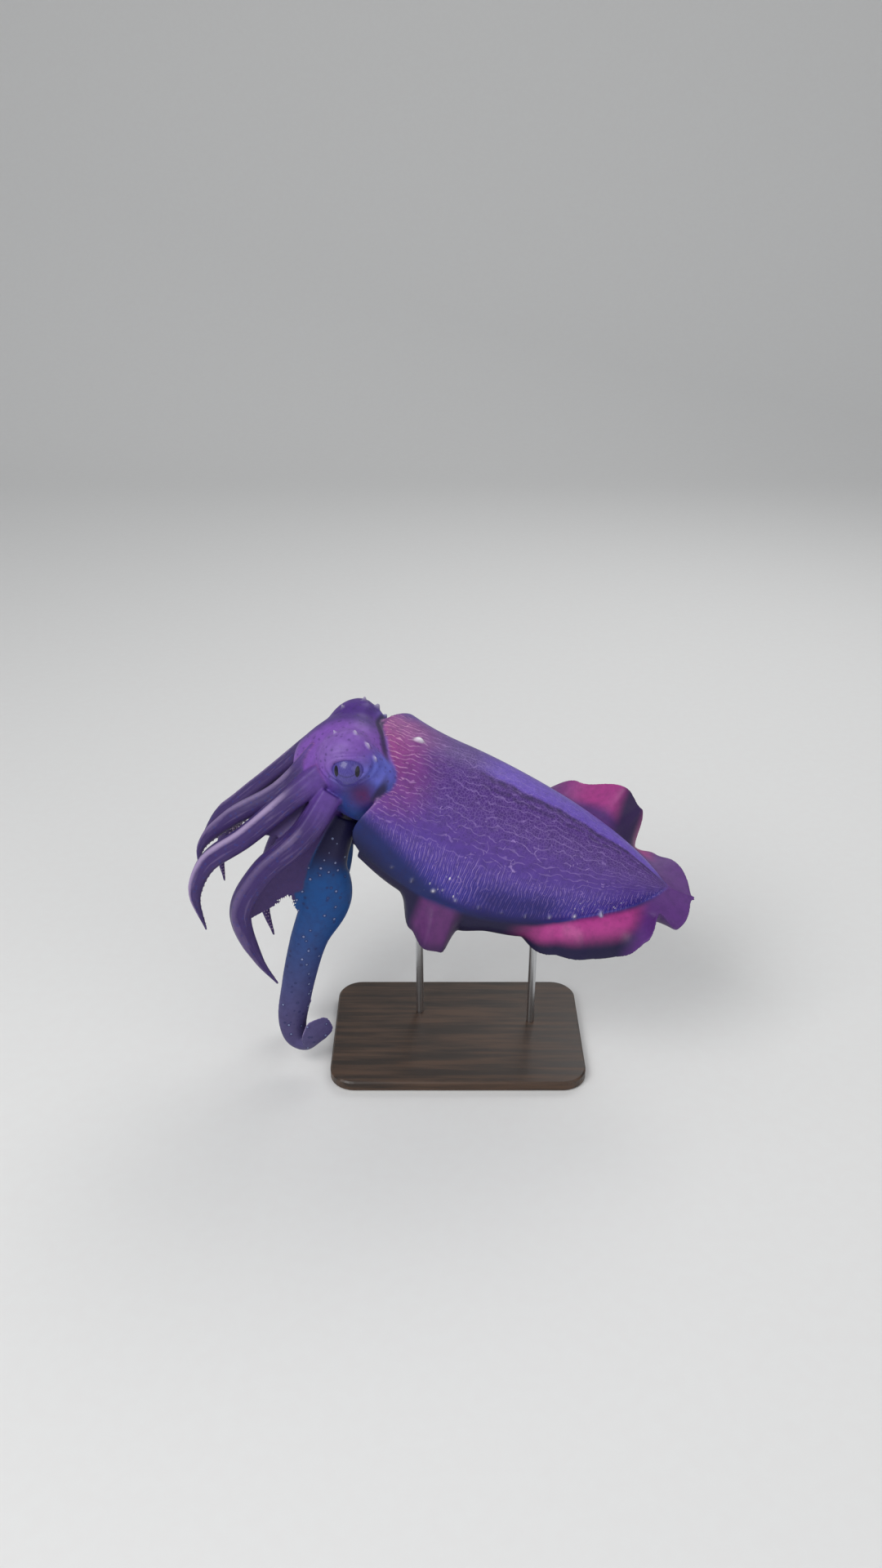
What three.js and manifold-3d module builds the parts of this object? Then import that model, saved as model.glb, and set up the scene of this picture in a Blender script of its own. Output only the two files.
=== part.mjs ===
// A life-size museum model of a giant Australian cuttlefish, swimming with its arms let down,
// on a flat base with two short rods. Millimetres, +Z up. The head points to -X, the animal's
// left side faces -Y, and the origin is the middle of the underside of the base.
import * as THREE from 'three';
import { mergeVertices } from 'three/addons/utils/BufferGeometryUtils.js';
import Module from 'manifold-3d';

const wasm = await Module();
wasm.setup();

// Gap between neighbouring pieces.
const GAP = 0.35;

// Where the animal's own frame stands over the middle of the base.
const ANIMAL_PLACE = [-22, -18, 304];

// The mantle: its length, its width between the fin bases, how high the back rises, how far the
// line of the fin bases dips at mid length, how deep the belly hangs below it, and its pose.
const MANTLE = {
  length: 390, width: 224, rise: 78, dip: 47, belly: 46,
  at: [-88, 27, 86], yaw: 8, pitch: 19, roll: 23,
};
const MANTLE_STATIONS = 20;
const MANTLE_SIDES = 30;
// Each measure's share at the front margin, where it is full, and how it falls off to the tail.
const MANTLE_FORM = {
  half: { front: 0.94, full: 0.4, power: 3, fall: 0.85 },
  top: { front: 0.9, full: 0.3, power: 2.4, fall: 0.8 },
  belly: { front: 0.86, full: 0.25, power: 2.6, fall: 0.8 },
};
// How square the back and the belly are in section, and how much rounder the front end is.
const MANTLE_SECTION = { back: [2.2, 0.8], belly: [2.8, 0.6], round: 0.24, roundTo: 0.25 };
// How far the front margin runs forward or back, at which angle, and how widely.
const MANTLE_MARGIN = [
  { run: -10, angle: 74, spread: 17 },
  { run: 21, angle: 124, spread: 27 },
  { run: 18, angle: 24, spread: 27 },
  { run: 22, angle: 195, spread: 24 },
  { run: 22, angle: 345, spread: 24 },
  { run: 16, angle: 270, spread: 45 },
];
const MARGIN_FADE = 0.3;
// The hollow at the front that the neck fills: how far back each ring of its wall lies, and its size.
const MANTLE_POCKET = [
  { back: 26, size: 0.25 },
  { back: 23.4, size: 0.62 },
  { back: 11, size: 0.86 },
  { back: 2, size: 0.93 },
];
const MANTLE_LIP = 0.975;

// The head: the middle between the eyes, its pose, and the rounded masses that make it up, each
// with a place from that middle (back, right, up) and its three radii.
const HEAD = { at: [-100, 4, 138], yaw: 6, pitch: -30, roll: 4 };
const HEAD_DETAIL = 8;
const HEAD_BLEND = 5;
const HEAD_MASSES = [
  { name: 'cranium', at: [-17, 0, 0], radii: [48, 52, 42] },
  { name: 'neck', at: [8, 12, -46], radii: [37, 49, 41] },
  { name: 'arm crown', at: [-52, 0, -12], radii: [31, 43, 44] },
  { name: 'orbit', at: [0, 46, 2], radii: [29, 25, 27], pair: true },
  { name: 'brow', at: [2, 41, 22], radii: [25, 21, 16], pair: true },
  { name: 'cheek', at: [-6, 36, -40], radii: [40, 26, 41], pair: true },
];

// The eyeballs, and the fold of skin above and below each.
const EYE = { radius: 21, at: [0, 56, 2], opening: [20, 9, 11], openingAt: 74 };
const LID = {
  across: 19, thick: 3.2, segments: 8, sides: 5, upper: 12.5, lower: -11.5,
  slim: 0.45, flat: 0.75, stand: 1.2, sunk: 0.5, lift: 1.25,
};

// The lip round the mouth, in the middle of the arm crown.
const MOUTH = { at: [-158, 4, 66], ring: 13, lip: 5, height: 12, sides: 12 };

// The funnel under the head, from inside the mantle to its open end.
const FUNNEL = {
  path: [[-58, 24, 58], [-88, 20, 34], [-112, 16, 8]], radii: [27, 25, 16], sides: 14, steps: 5,
  mouth: 10, deep: 9, flare: [0.8, 1, 1.2],
};

// The arms, left then right. Each path runs from inside the head to the tip. 'oral' is the way
// the sucker side faces, 'wide' and 'thick' are half sizes at the root, and 'hold' is how much of
// that width is kept half way along.
const ARM_SIDES = 8;
const ARM_STEPS = 5;
const ARM_END = 0.995;
const ARM_CUTS = [0, 0.33, 0.66, 1];
const ARM_LENGTHS = ['base', 'middle', 'tip'];
// The broad ventral arms: their half width and half thickness along them, as shares. They are
// pinched at a bend near the end and spread again into a flat flap.
const VENTRAL_SHAPE = [
  { t: 0, wide: 0.6, thick: 1 },
  { t: 0.12, wide: 0.8, thick: 1 },
  { t: 0.22, wide: 1, thick: 1 },
  { t: 0.32, wide: 0.97, thick: 0.95 },
  { t: 0.42, wide: 0.79, thick: 0.85 },
  { t: 0.6, wide: 0.67, thick: 0.7 },
  { t: 0.74, wide: 0.6, thick: 0.58 },
  { t: 0.81, wide: 0.48, thick: 0.48 },
  { t: 0.862, wide: 0.31, thick: 0.36 },
  { t: 0.92, wide: 0.53, thick: 0.22 },
  { t: 0.965, wide: 0.56, thick: 0.15 },
  { t: 1, wide: 0.1, thick: 0.06 },
];
const ARMS = {
  arm_left_1: {
    path: [[-138, -12, 142], [-188, -20, 92], [-250, -24, 56], [-287, -26, 20], [-294, -24, -14]],
    oral: [0.3, 0.35, -0.85], wide: 16, thick: 14, hold: 0.86,
  },
  arm_left_2: {
    path: [[-134, -34, 124], [-175, -44, 92], [-228, -56, 50], [-275, -60, 16], [-293, -60, -28],
      [-286, -54, -82]],
    oral: [0.35, 0.5, -0.75], wide: 17, thick: 14, hold: 0.88,
  },
  arm_left_3: {
    path: [[-128, -42, 100], [-160, -64, 56], [-210, -82, 14], [-236, -86, -36], [-220, -82, -106],
      [-200, -76, -146]],
    oral: [0.35, 0.75, -0.5], wide: 17, thick: 15, hold: 0.9,
  },
  arm_left_4: {
    path: [[-116, -16, 56], [-141, -31, -6], [-140, -35, -50], [-164, -36, -109], [-182, -36, -180],
      [-191, -35, -238], [-186, -37, -263], [-175, -42, -267], [-163, -46, -250], [-147, -46, -221]],
    oral: [-0.3, 0.9, 0], wide: 32, thick: 16, shape: VENTRAL_SHAPE,
  },
  arm_right_1: {
    path: [[-138, 20, 142], [-178, 33, 104], [-246, 38, 47], [-280, 40, 22], [-304, 40, -10]],
    oral: [0.3, -0.35, -0.85], wide: 16, thick: 14, hold: 0.86,
  },
  arm_right_2: {
    path: [[-132, 42, 124], [-172, 56, 84], [-222, 66, 38], [-262, 70, 2], [-284, 68, -40],
      [-282, 62, -84]],
    oral: [0.35, -0.5, -0.75], wide: 17, thick: 14, hold: 0.88,
  },
  arm_right_3: {
    path: [[-128, 48, 100], [-160, 64, 50], [-196, 72, -4], [-222, 70, -62], [-232, 62, -118],
      [-222, 56, -164]],
    oral: [0.35, -0.75, -0.5], wide: 17, thick: 15, hold: 0.9,
  },
  arm_right_4: {
    path: [[-116, 26, 56], [-137, 36, -8], [-146, 40, -58], [-166, 41, -118], [-182, 41, -180],
      [-192, 41, -232], [-191, 43, -274]],
    oral: [-0.3, -0.9, 0], wide: 30, thick: 16, shape: VENTRAL_SHAPE,
  },
};

// The suckers, in two rows along each arm.
const SUCKER = {
  sides: 5, pairs: 8, first: 0.16, last: 0.93, size: 0.3, least: 1.5, tall: 0.5, sunk: 2.5,
  apart: 0.42, ventral: 0.62, spacing: 0.92,
};
// How far the sucker side and the outer side stand out, of an arm's half thickness.
const ARM_FACE = { oral: 0.55, outer: 1, flatness: 0.7 };

// The fins. Each row is a station: the share of the mantle's length, the width, and the angles
// up from the outward direction at the base and at the free edge.
const FIN_THICK = { base: 7, edge: 1.6, thins: 0.6 };
const FIN_ACROSS = 4;
const FIN_STEPS = 10;
const FIN_ROOT = 5;
const FINS = {
  left: [
    { s: 0.02, width: 12, base: -60, edge: -120 },
    { s: 0.20, width: 34, base: -60, edge: -165 },
    { s: 0.285, width: 50, base: -45, edge: -80 },
    { s: 0.34, width: 58, base: -22, edge: -48 },
    { s: 0.385, width: 56, base: -24, edge: -56 },
    { s: 0.43, width: 48, base: -50, edge: -130 },
    { s: 0.52, width: 48, base: -55, edge: -150 },
    { s: 0.62, width: 46, base: -50, edge: -145 },
    { s: 0.70, width: 40, base: -10, edge: -60 },
    { s: 0.77, width: 54, base: 30, edge: -60 },
    { s: 0.84, width: 58, base: 30, edge: -65 },
    { s: 0.89, width: 57, base: 0, edge: 30 },
    { s: 0.925, width: 56, base: -25, edge: 105 },
    { s: 0.96, width: 50, base: -10, edge: 0 },
    { s: 0.992, width: 38, base: 0, edge: 0 },
  ],
  right: [
    { s: 0.02, width: 12, base: -30, edge: -50 },
    { s: 0.15, width: 36, base: -40, edge: -70 },
    { s: 0.35, width: 56, base: -45, edge: -75 },
    { s: 0.50, width: 60, base: -35, edge: -60 },
    { s: 0.62, width: 62, base: 0, edge: 5 },
    { s: 0.74, width: 74, base: 15, edge: 40 },
    { s: 0.80, width: 68, base: 5, edge: 20 },
    { s: 0.86, width: 44, base: 0, edge: -60 },
    { s: 0.91, width: 34, base: -5, edge: -12 },
    { s: 0.95, width: 44, base: -5, edge: 0 },
    { s: 0.992, width: 38, base: 0, edge: 0 },
  ],
};
const FIN_CUTS = [0.02, 0.34, 0.67, 0.992];
// From which share on the fins turn to trail behind the tail, how far, and how much they close in.
const FIN_TAIL = { from: 0.93, over: 0.06, turn: 0.85, close: 0.22 };
const FIN_LENGTHS = ['front', 'middle', 'rear'];

// The raised papillae: a row along each flank above the fin, and a few on the head.
const FLANK_PAPILLAE = {
  count: 10, from: 0.16, to: 0.82, angle: 14, long: 7, wide: 3, tall: 4, sides: 5,
};
const BACK_PAPILLA = { s: 0.11, angle: 78, long: 7, wide: 5, tall: 5 };
const HEAD_PAPILLAE = [
  { at: [24, 40, 30], size: 5, tall: 6 },
  { at: [34, 50, 16], size: 6, tall: 7 },
  { at: [34, 54, -2], size: 5, tall: 6 },
  { at: [2, 34, 44], size: 4, tall: 5 },
];
const HEAD_PAPILLA = { slim: 0.4, sunk: 4, lie: [0.2, 0, 1] };

// The display stand.
const BASE = { long: 330, wide: 216, thick: 14, corner: 30, bevel: 2 };
const ROD = { radius: 5, sides: 20, fromMantle: [0.2, 0.62], aside: 0.1, into: 23 };

const rad = THREE.MathUtils.degToRad;
const clamp01 = (x) => Math.min(1, Math.max(0, x));
const ease = (x) => clamp01(x) ** 2 * (3 - 2 * clamp01(x));

function frameOf({ at, yaw, pitch, roll }) {
  const turn = new THREE.Euler(rad(roll), rad(pitch), rad(-yaw), 'ZYX');
  return new THREE.Matrix4().makeRotationFromEuler(turn).setPosition(...at);
}

const mantleFrame = frameOf(MANTLE);
const headFrame = frameOf(HEAD);

// A closed solid from corner points and triangles, turned so that its faces point out.
function solid(points, faces) {
  let volume = 0;
  for (const [a, b, c] of faces) {
    volume += points[a].dot(points[b].clone().cross(points[c]));
  }
  const corners = volume > 0 ? faces : faces.map(([a, b, c]) => [a, c, b]);
  const vertProperties = new Float32Array(points.flatMap((p) => [p.x, p.y, p.z]));
  const triVerts = new Uint32Array(corners.flat());
  return new wasm.Manifold(new wasm.Mesh({ numProp: 3, vertProperties, triVerts }));
}

function solidOf(geometry) {
  const bare = geometry.index ? geometry.toNonIndexed() : geometry.clone();
  for (const name of Object.keys(bare.attributes)) {
    if (name !== 'position') {
      bare.deleteAttribute(name);
    }
  }
  const merged = mergeVertices(bare, 1e-4);
  const place = merged.attributes.position;
  const points = [];
  for (let i = 0; i < place.count; i += 1) {
    points.push(new THREE.Vector3().fromBufferAttribute(place, i));
  }
  const faces = [];
  for (let i = 0; i < merged.index.count; i += 3) {
    const corner = [0, 1, 2].map((k) => merged.index.getX(i + k));
    if (new Set(corner).size === 3) {
      faces.push(corner);
    }
  }
  return solid(points, faces);
}

// The largest closed surface of a solid.
function largest(body) {
  const pieces = body.decompose();
  return pieces.reduce((best, piece) => (piece.volume() > best.volume() ? piece : best));
}

// A skin over rings of points, closed by a middle point at each end.
function loft(rings) {
  const sides = rings[0].length;
  const points = rings.flat();
  const faces = [];
  for (let i = 0; i < rings.length - 1; i += 1) {
    for (let k = 0; k < sides; k += 1) {
      const next = (k + 1) % sides;
      const a = i * sides + k;
      const b = i * sides + next;
      faces.push([a, b, b + sides], [a, b + sides, a + sides]);
    }
  }
  const last = points.length - sides;
  for (const [start, ring, flip] of [[0, rings[0], true], [last, rings.at(-1), false]]) {
    const middle = new THREE.Vector3();
    ring.forEach((p) => middle.addScaledVector(p, 1 / sides));
    points.push(middle);
    for (let k = 0; k < sides; k += 1) {
      const edge = [start + k, start + (k + 1) % sides];
      faces.push(flip ? [edge[1], edge[0], points.length - 1] : [edge[0], edge[1], points.length - 1]);
    }
  }
  return solid(points, faces);
}

function mantleShare(s, { front, full, power, fall }) {
  return (front + (1 - front) * ease(s / full)) * (1 - s ** power) ** fall;
}

// The mantle's skin at a share s of its length and an angle round it: 0 is the right fin base,
// 90 the back, 180 the left fin base and 270 the belly.
function mantleShares(s) {
  return {
    half: (MANTLE.width / 2) * mantleShare(s, MANTLE_FORM.half),
    top: MANTLE.rise * mantleShare(s, MANTLE_FORM.top),
    line: -MANTLE.dip * 4 * s * (1 - s),
    belly: MANTLE.belly * mantleShare(s, MANTLE_FORM.belly),
  };
}

function mantlePoint(s, degrees, grow = 0) {
  const { half, top, line, belly } = mantleShares(s);
  const across = Math.cos(rad(degrees));
  const up = Math.sin(rad(degrees));
  const rounder = MANTLE_SECTION.round * (1 - ease(s / MANTLE_SECTION.roundTo));
  const [backPower, backFall] = MANTLE_SECTION.back;
  const [bellyPower, bellyFall] = MANTLE_SECTION.belly;
  const back = (top - line) * (1 - Math.abs(across) ** backPower) ** (backFall - rounder);
  const under = belly * (1 - Math.abs(across) ** bellyPower) ** (bellyFall - rounder / 3);
  let margin = 0;
  for (const { run, angle, spread } of MANTLE_MARGIN) {
    const away = ((degrees - angle + 540) % 360) - 180;
    margin += run * Math.exp(-((away / spread) ** 2)) * clamp01(1 - s / MARGIN_FADE) ** 2;
  }
  return new THREE.Vector3(
    MANTLE.length * s + margin,
    (half + grow) * across,
    up >= 0 ? line + back + grow * up : line - under + grow * up,
  );
}

function mantleRing(s, grow, shrink = 1, back = 0) {
  const ring = [];
  const middle = mantleShares(s).top * 0.25;
  for (let k = 0; k < MANTLE_SIDES; k += 1) {
    const p = mantlePoint(s, (360 * k) / MANTLE_SIDES, grow);
    p.set(p.x + back, p.y * shrink, middle + (p.z - middle) * shrink);
    ring.push(p.applyMatrix4(mantleFrame));
  }
  return ring;
}

function mantleSolid(grow = 0) {
  const rings = [];
  if (grow === 0) {
    for (const { back, size } of MANTLE_POCKET) {
      rings.push(mantleRing(0, 0, size, back));
    }
  }
  rings.push(mantleRing(0, grow, grow ? 1 : MANTLE_LIP));
  for (let i = 1; i <= MANTLE_STATIONS; i += 1) {
    const t = i / (MANTLE_STATIONS + 0.6);
    rings.push(mantleRing(1 - (1 - t) ** 1.5, grow));
  }
  return loft(rings);
}

// The head: a smooth skin over its masses, found along rays from the middle of the head.
const headMasses = HEAD_MASSES.flatMap((mass) => {
  const sides = mass.pair ? [-1, 1] : [1];
  return sides.map((side) => ({ at: [mass.at[0], mass.at[1] * side, mass.at[2]], radii: mass.radii }));
});

function headFill(p) {
  let fill = 0;
  for (const { at, radii } of headMasses) {
    const far = Math.hypot(...[p.x, p.y, p.z].map((value, k) => (value - at[k]) / radii[k]));
    fill += Math.exp(HEAD_BLEND * (1 - far));
  }
  return fill;
}

const HEAD_MIDDLE = new THREE.Vector3(-16, 0, -22);

function headReach(direction) {
  let near = 5;
  let far = 150;
  for (let i = 0; i < 26; i += 1) {
    const reach = (near + far) / 2;
    if (headFill(HEAD_MIDDLE.clone().addScaledVector(direction, reach)) > 1) {
      near = reach;
    } else {
      far = reach;
    }
  }
  return near;
}

function headSkin(direction, grow = 0) {
  return HEAD_MIDDLE.clone().addScaledVector(direction, headReach(direction) + grow);
}

function headSolid(grow = 0) {
  const ball = new THREE.IcosahedronGeometry(1, HEAD_DETAIL);
  const place = ball.attributes.position;
  for (let i = 0; i < place.count; i += 1) {
    const direction = new THREE.Vector3().fromBufferAttribute(place, i).normalize();
    const p = headSkin(direction, grow).applyMatrix4(headFrame);
    place.setXYZ(i, p.x, p.y, p.z);
  }
  return solidOf(ball);
}

// An eyeball, also a little larger to cut its socket.
function eyeSolid(side, grow = 0) {
  const ball = new THREE.SphereGeometry(EYE.radius + grow, 14, 9);
  ball.rotateX(Math.PI / 2 * side);
  ball.translate(EYE.at[0], EYE.at[1] * side, EYE.at[2]);
  ball.applyMatrix4(headFrame);
  return solidOf(ball);
}

// The cut in the skin that shows the eyeball.
function openingSolid(side) {
  const ball = new THREE.SphereGeometry(1, 12, 6);
  ball.scale(...EYE.opening);
  ball.translate(EYE.at[0], EYE.openingAt * side, EYE.at[2]);
  ball.applyMatrix4(headFrame);
  return solidOf(ball);
}

// A lid: a fold of skin that arches over the eyeball from corner to corner.
function lidSolid(side, rise) {
  const rings = [];
  for (let i = 0; i <= LID.segments; i += 1) {
    const t = (i / LID.segments) * 2 - 1;
    const across = t * LID.across;
    const up = rise * Math.sqrt(1 - 0.92 * t * t);
    const out = Math.sqrt(Math.max(1, EYE.radius ** 2 - across ** 2 - up ** 2)) - LID.sunk;
    const thick = LID.thick * (LID.slim + (1 - LID.slim) * Math.sqrt(1 - 0.9 * t * t));
    const middle = new THREE.Vector3(across, side * out, up * LID.lift);
    middle.add(new THREE.Vector3(EYE.at[0], side * EYE.at[1], EYE.at[2]));
    const ring = [];
    for (let k = 0; k < LID.sides; k += 1) {
      const turn = (2 * Math.PI * k) / LID.sides;
      const wide = side * thick * LID.flat * Math.cos(turn);
      const offset = new THREE.Vector3(0, wide, thick * LID.stand * Math.sin(turn));
      ring.push(middle.clone().add(offset).applyMatrix4(headFrame));
    }
    rings.push(ring);
  }
  return loft(rings);
}

// A papilla: a low cone with a blunt top, rooted below the skin.
function papillaSolid(root, outward, along, { long, wide, tall, sides = 6, sunk = 3 }) {
  const normal = outward.clone().normalize();
  const length = along.clone().addScaledVector(normal, -along.dot(normal)).normalize();
  const width = normal.clone().cross(length);
  const levels = [[-sunk, 1], [tall * 0.5, 0.72], [tall, 0.25]];
  const rings = levels.map(([height, share]) => {
    const ring = [];
    for (let k = 0; k < sides; k += 1) {
      const turn = (2 * Math.PI * k) / sides;
      ring.push(root.clone()
        .addScaledVector(normal, height)
        .addScaledVector(length, long * share * Math.cos(turn))
        .addScaledVector(width, wide * share * Math.sin(turn)));
    }
    return ring;
  });
  return loft(rings);
}

function mantlePapilla(s, degrees, sizes) {
  const here = mantlePoint(s, degrees).applyMatrix4(mantleFrame);
  const on = mantlePoint(s + 0.01, degrees).applyMatrix4(mantleFrame);
  const round = mantlePoint(s, degrees + 1).applyMatrix4(mantleFrame);
  const along = on.sub(here);
  const outward = round.sub(here).cross(along).negate();
  const middle = new THREE.Vector3(MANTLE.length * s, 0, 0).applyMatrix4(mantleFrame);
  if (outward.dot(here.clone().sub(middle)) < 0) {
    outward.negate();
  }
  return papillaSolid(here, outward, along, sizes);
}

// An arm's half width and half thickness: a plain taper, or one read from rows.
function taperedSizes(arm, t) {
  const swell = 1 - (1 - arm.hold) * ease(t / 0.5);
  const taper = t < 0.5 ? swell : arm.hold * (1 - ease((t - 0.5) / 0.62) * 0.98);
  const flat = Math.min(1, 1.6 * taper + 0.12);
  return { wide: arm.wide * taper, thick: arm.thick * Math.sqrt(taper * swell) * flat };
}

function shapedSizes(arm, t) {
  const next = arm.shape.findIndex((row, i) => i > 0 && t <= row.t);
  const [a, b] = [arm.shape[next - 1], arm.shape[next]];
  const share = (t - a.t) / (b.t - a.t);
  return {
    wide: arm.wide * (a.wide + (b.wide - a.wide) * share),
    thick: arm.thick * (a.thick + (b.thick - a.thick) * share),
  };
}

// An arm: stations along its path, each with the direction along it, across it and to the suckers.
function armStation(arm, t) {
  const at = arm.curve.getPointAt(t);
  const along = arm.curve.getTangentAt(t);
  const oral = new THREE.Vector3(...arm.oral);
  oral.addScaledVector(along, -oral.dot(along)).normalize();
  const across = along.clone().cross(oral);
  const { wide, thick } = arm.shape ? shapedSizes(arm, t) : taperedSizes(arm, t);
  return { at, across, oral, along, wide, thick };
}

function armRing(arm, t, grow, shift = 0) {
  const { at, across, oral, along, wide, thick } = armStation(arm, t);
  const ring = [];
  for (let k = 0; k < ARM_SIDES; k += 1) {
    const turn = (2 * Math.PI * k) / ARM_SIDES;
    const toOral = Math.sin(turn) > 0;
    const face = thick * (toOral ? ARM_FACE.oral : ARM_FACE.outer) + grow;
    const depth = Math.abs(Math.sin(turn)) ** (toOral ? ARM_FACE.flatness : 1);
    ring.push(at.clone()
      .addScaledVector(along, shift)
      .addScaledVector(across, (wide + grow) * Math.cos(turn))
      .addScaledVector(oral, face * depth * (toOral ? 1 : -1)));
  }
  return ring;
}

function suckerSolid(arm, t, side, grow) {
  const { at, across, oral, along, wide, thick } = armStation(arm, t);
  const size = Math.max(SUCKER.least, wide * SUCKER.size * (arm.shape ? SUCKER.ventral : 1));
  const middle = at.clone().addScaledVector(across, side * SUCKER.apart * wide);
  const skin = thick * ARM_FACE.oral * Math.sin(Math.acos(SUCKER.apart)) ** ARM_FACE.flatness;
  const levels = [[skin - SUCKER.sunk, 0.8], [skin + size * SUCKER.tall + grow, 1]];
  const rings = levels.map(([height, share]) => {
    const ring = [];
    for (let k = 0; k < SUCKER.sides; k += 1) {
      const turn = (2 * Math.PI * k) / SUCKER.sides;
      ring.push(middle.clone()
        .addScaledVector(oral, height)
        .addScaledVector(across, (size * share + grow) * Math.cos(turn))
        .addScaledVector(along, (size * share + grow) * Math.sin(turn)));
    }
    return ring;
  });
  return loft(rings);
}

function armSolid(arm, part, grow = 0) {
  const rings = [];
  const from = ARM_CUTS[part];
  const to = ARM_CUTS[part + 1];
  const inset = GAP / 2 - grow;
  for (let i = 0; i <= ARM_STEPS; i += 1) {
    const t = Math.min(from + ((to - from) * i) / ARM_STEPS, ARM_END);
    let shift = 0;
    if (i === 0 && part > 0) {
      shift = inset;
    } else if (i === ARM_STEPS && part < ARM_LENGTHS.length - 1) {
      shift = -inset;
    }
    rings.push(armRing(arm, t, grow, shift));
  }
  let body = loft(rings);
  for (let pair = 0; pair < SUCKER.pairs; pair += 1) {
    for (const side of [-1, 1]) {
      const share = (pair + (side > 0 ? 0.5 : 0)) / (SUCKER.pairs - 0.5);
      const t = SUCKER.first + (SUCKER.last - SUCKER.first) * share ** SUCKER.spacing;
      const reach = (armStation(arm, t).wide * SUCKER.size + SUCKER.least) / arm.length;
      if (t - reach > from && t + reach < to) {
        body = body.add(suckerSolid(arm, t, side, grow));
      }
    }
  }
  return body;
}

// A value at a share s, eased from one row of a fin to the next.
function finValue(rows, s, key) {
  let i = 0;
  while (i < rows.length - 2 && s > rows[i + 1].s) {
    i += 1;
  }
  const t = clamp01((s - rows[i].s) / (rows[i + 1].s - rows[i].s));
  return rows[i][key] + (rows[i + 1][key] - rows[i][key]) * (t * t * (3 - 2 * t));
}

// A fin at a share s of the mantle's length: where it starts, the way out, and its row's values.
function finStation(side, s) {
  const degrees = side === 'left' ? 180 : 0;
  const sign = side === 'left' ? -1 : 1;
  const base = mantlePoint(s, degrees);
  const next = mantlePoint(Math.min(s + 0.004, 0.997), degrees);
  const before = mantlePoint(s - 0.004, degrees);
  const along = next.sub(before).setZ(0).normalize();
  const outward = new THREE.Vector3(-along.y, along.x, 0).multiplyScalar(sign);
  const trailing = FIN_TAIL.turn * ease((s - FIN_TAIL.from) / FIN_TAIL.over);
  outward.lerp(new THREE.Vector3(1, -sign * FIN_TAIL.close, 0), trailing).normalize();
  const rows = FINS[side];
  const width = finValue(rows, s, 'width') + FIN_ROOT;
  return { base, outward, width, start: finValue(rows, s, 'base'), end: finValue(rows, s, 'edge') };
}

// A length of a fin: an upper and a lower face in rows, alike in their triangles, and its edges.
function finSolid(side, from, to) {
  const faces = [[], []];
  for (let i = 0; i <= FIN_STEPS; i += 1) {
    const { base, outward, width, start, end } = finStation(side, from + ((to - from) * i) / FIN_STEPS);
    const spot = base.clone().addScaledVector(outward, -FIN_ROOT);
    for (let j = 0; j <= FIN_ACROSS; j += 1) {
      const share = j / FIN_ACROSS;
      const angle = rad(start + (end - start) * share);
      const heading = outward.clone().multiplyScalar(Math.cos(angle)).setZ(Math.sin(angle));
      const normal = outward.clone().multiplyScalar(-Math.sin(angle)).setZ(Math.cos(angle));
      if (j > 0) {
        spot.addScaledVector(heading, width / FIN_ACROSS);
      }
      const half = (FIN_THICK.base + (FIN_THICK.edge - FIN_THICK.base) * share ** FIN_THICK.thins) / 2;
      faces[0].push(spot.clone().addScaledVector(normal, half).applyMatrix4(mantleFrame));
      faces[1].push(spot.clone().addScaledVector(normal, -half).applyMatrix4(mantleFrame));
    }
  }
  const row = FIN_ACROSS + 1;
  const below = faces[0].length;
  const triangles = [];
  for (let i = 0; i < FIN_STEPS; i += 1) {
    for (let j = 0; j < FIN_ACROSS; j += 1) {
      const a = i * row + j;
      const b = a + row;
      triangles.push([a, b, b + 1], [a, b + 1, a + 1]);
      triangles.push([below + a, below + b + 1, below + b], [below + a, below + a + 1, below + b + 1]);
    }
    const a = i * row;
    const b = a + row;
    triangles.push([a, below + a, below + b], [a, below + b, b]);
    const c = a + FIN_ACROSS;
    const d = b + FIN_ACROSS;
    triangles.push([c, below + d, below + c], [c, d, below + d]);
  }
  for (let j = 0; j < FIN_ACROSS; j += 1) {
    const a = j;
    const b = FIN_STEPS * row + j;
    triangles.push([a, a + 1, below + a + 1], [a, below + a + 1, below + a]);
    triangles.push([b, below + b + 1, b + 1], [b, below + b, below + b + 1]);
  }
  return solid(faces.flat(), triangles);
}

// A round tube along a path, its radius read from even stations.
function tubeSolid(path, radii, sides, steps) {
  const curve = new THREE.CatmullRomCurve3(path.map((p) => new THREE.Vector3(...p)));
  const rings = [];
  for (let i = 0; i <= steps; i += 1) {
    const t = i / steps;
    const at = curve.getPoint(t);
    const along = curve.getTangent(t);
    const across = new THREE.Vector3(0, 1, 0).addScaledVector(along, -along.y).normalize();
    const up = along.clone().cross(across);
    const k = Math.min(radii.length - 2, Math.floor(t * (radii.length - 1)));
    const radius = THREE.MathUtils.lerp(radii[k], radii[k + 1], t * (radii.length - 1) - k);
    const ring = [];
    for (let n = 0; n < sides; n += 1) {
      const turn = (2 * Math.PI * n) / sides;
      ring.push(at.clone()
        .addScaledVector(across, radius * Math.cos(turn))
        .addScaledVector(up, radius * Math.sin(turn)));
    }
    rings.push(ring);
  }
  return loft(rings);
}

// The funnel, open at its tip.
function funnelSolid() {
  const tube = tubeSolid(FUNNEL.path, FUNNEL.radii, FUNNEL.sides, FUNNEL.steps);
  const curve = new THREE.CatmullRomCurve3(FUNNEL.path.map((p) => new THREE.Vector3(...p)));
  const tip = curve.getPoint(1);
  const along = curve.getTangent(1);
  const inside = tip.clone().addScaledVector(along, -FUNNEL.deep);
  const outside = tip.clone().addScaledVector(along, FUNNEL.deep);
  const bore = [inside, tip, outside].map((p) => p.toArray());
  const radii = FUNNEL.flare.map((share) => FUNNEL.mouth * share);
  return tube.subtract(tubeSolid(bore, radii, FUNNEL.sides, 2));
}

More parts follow.
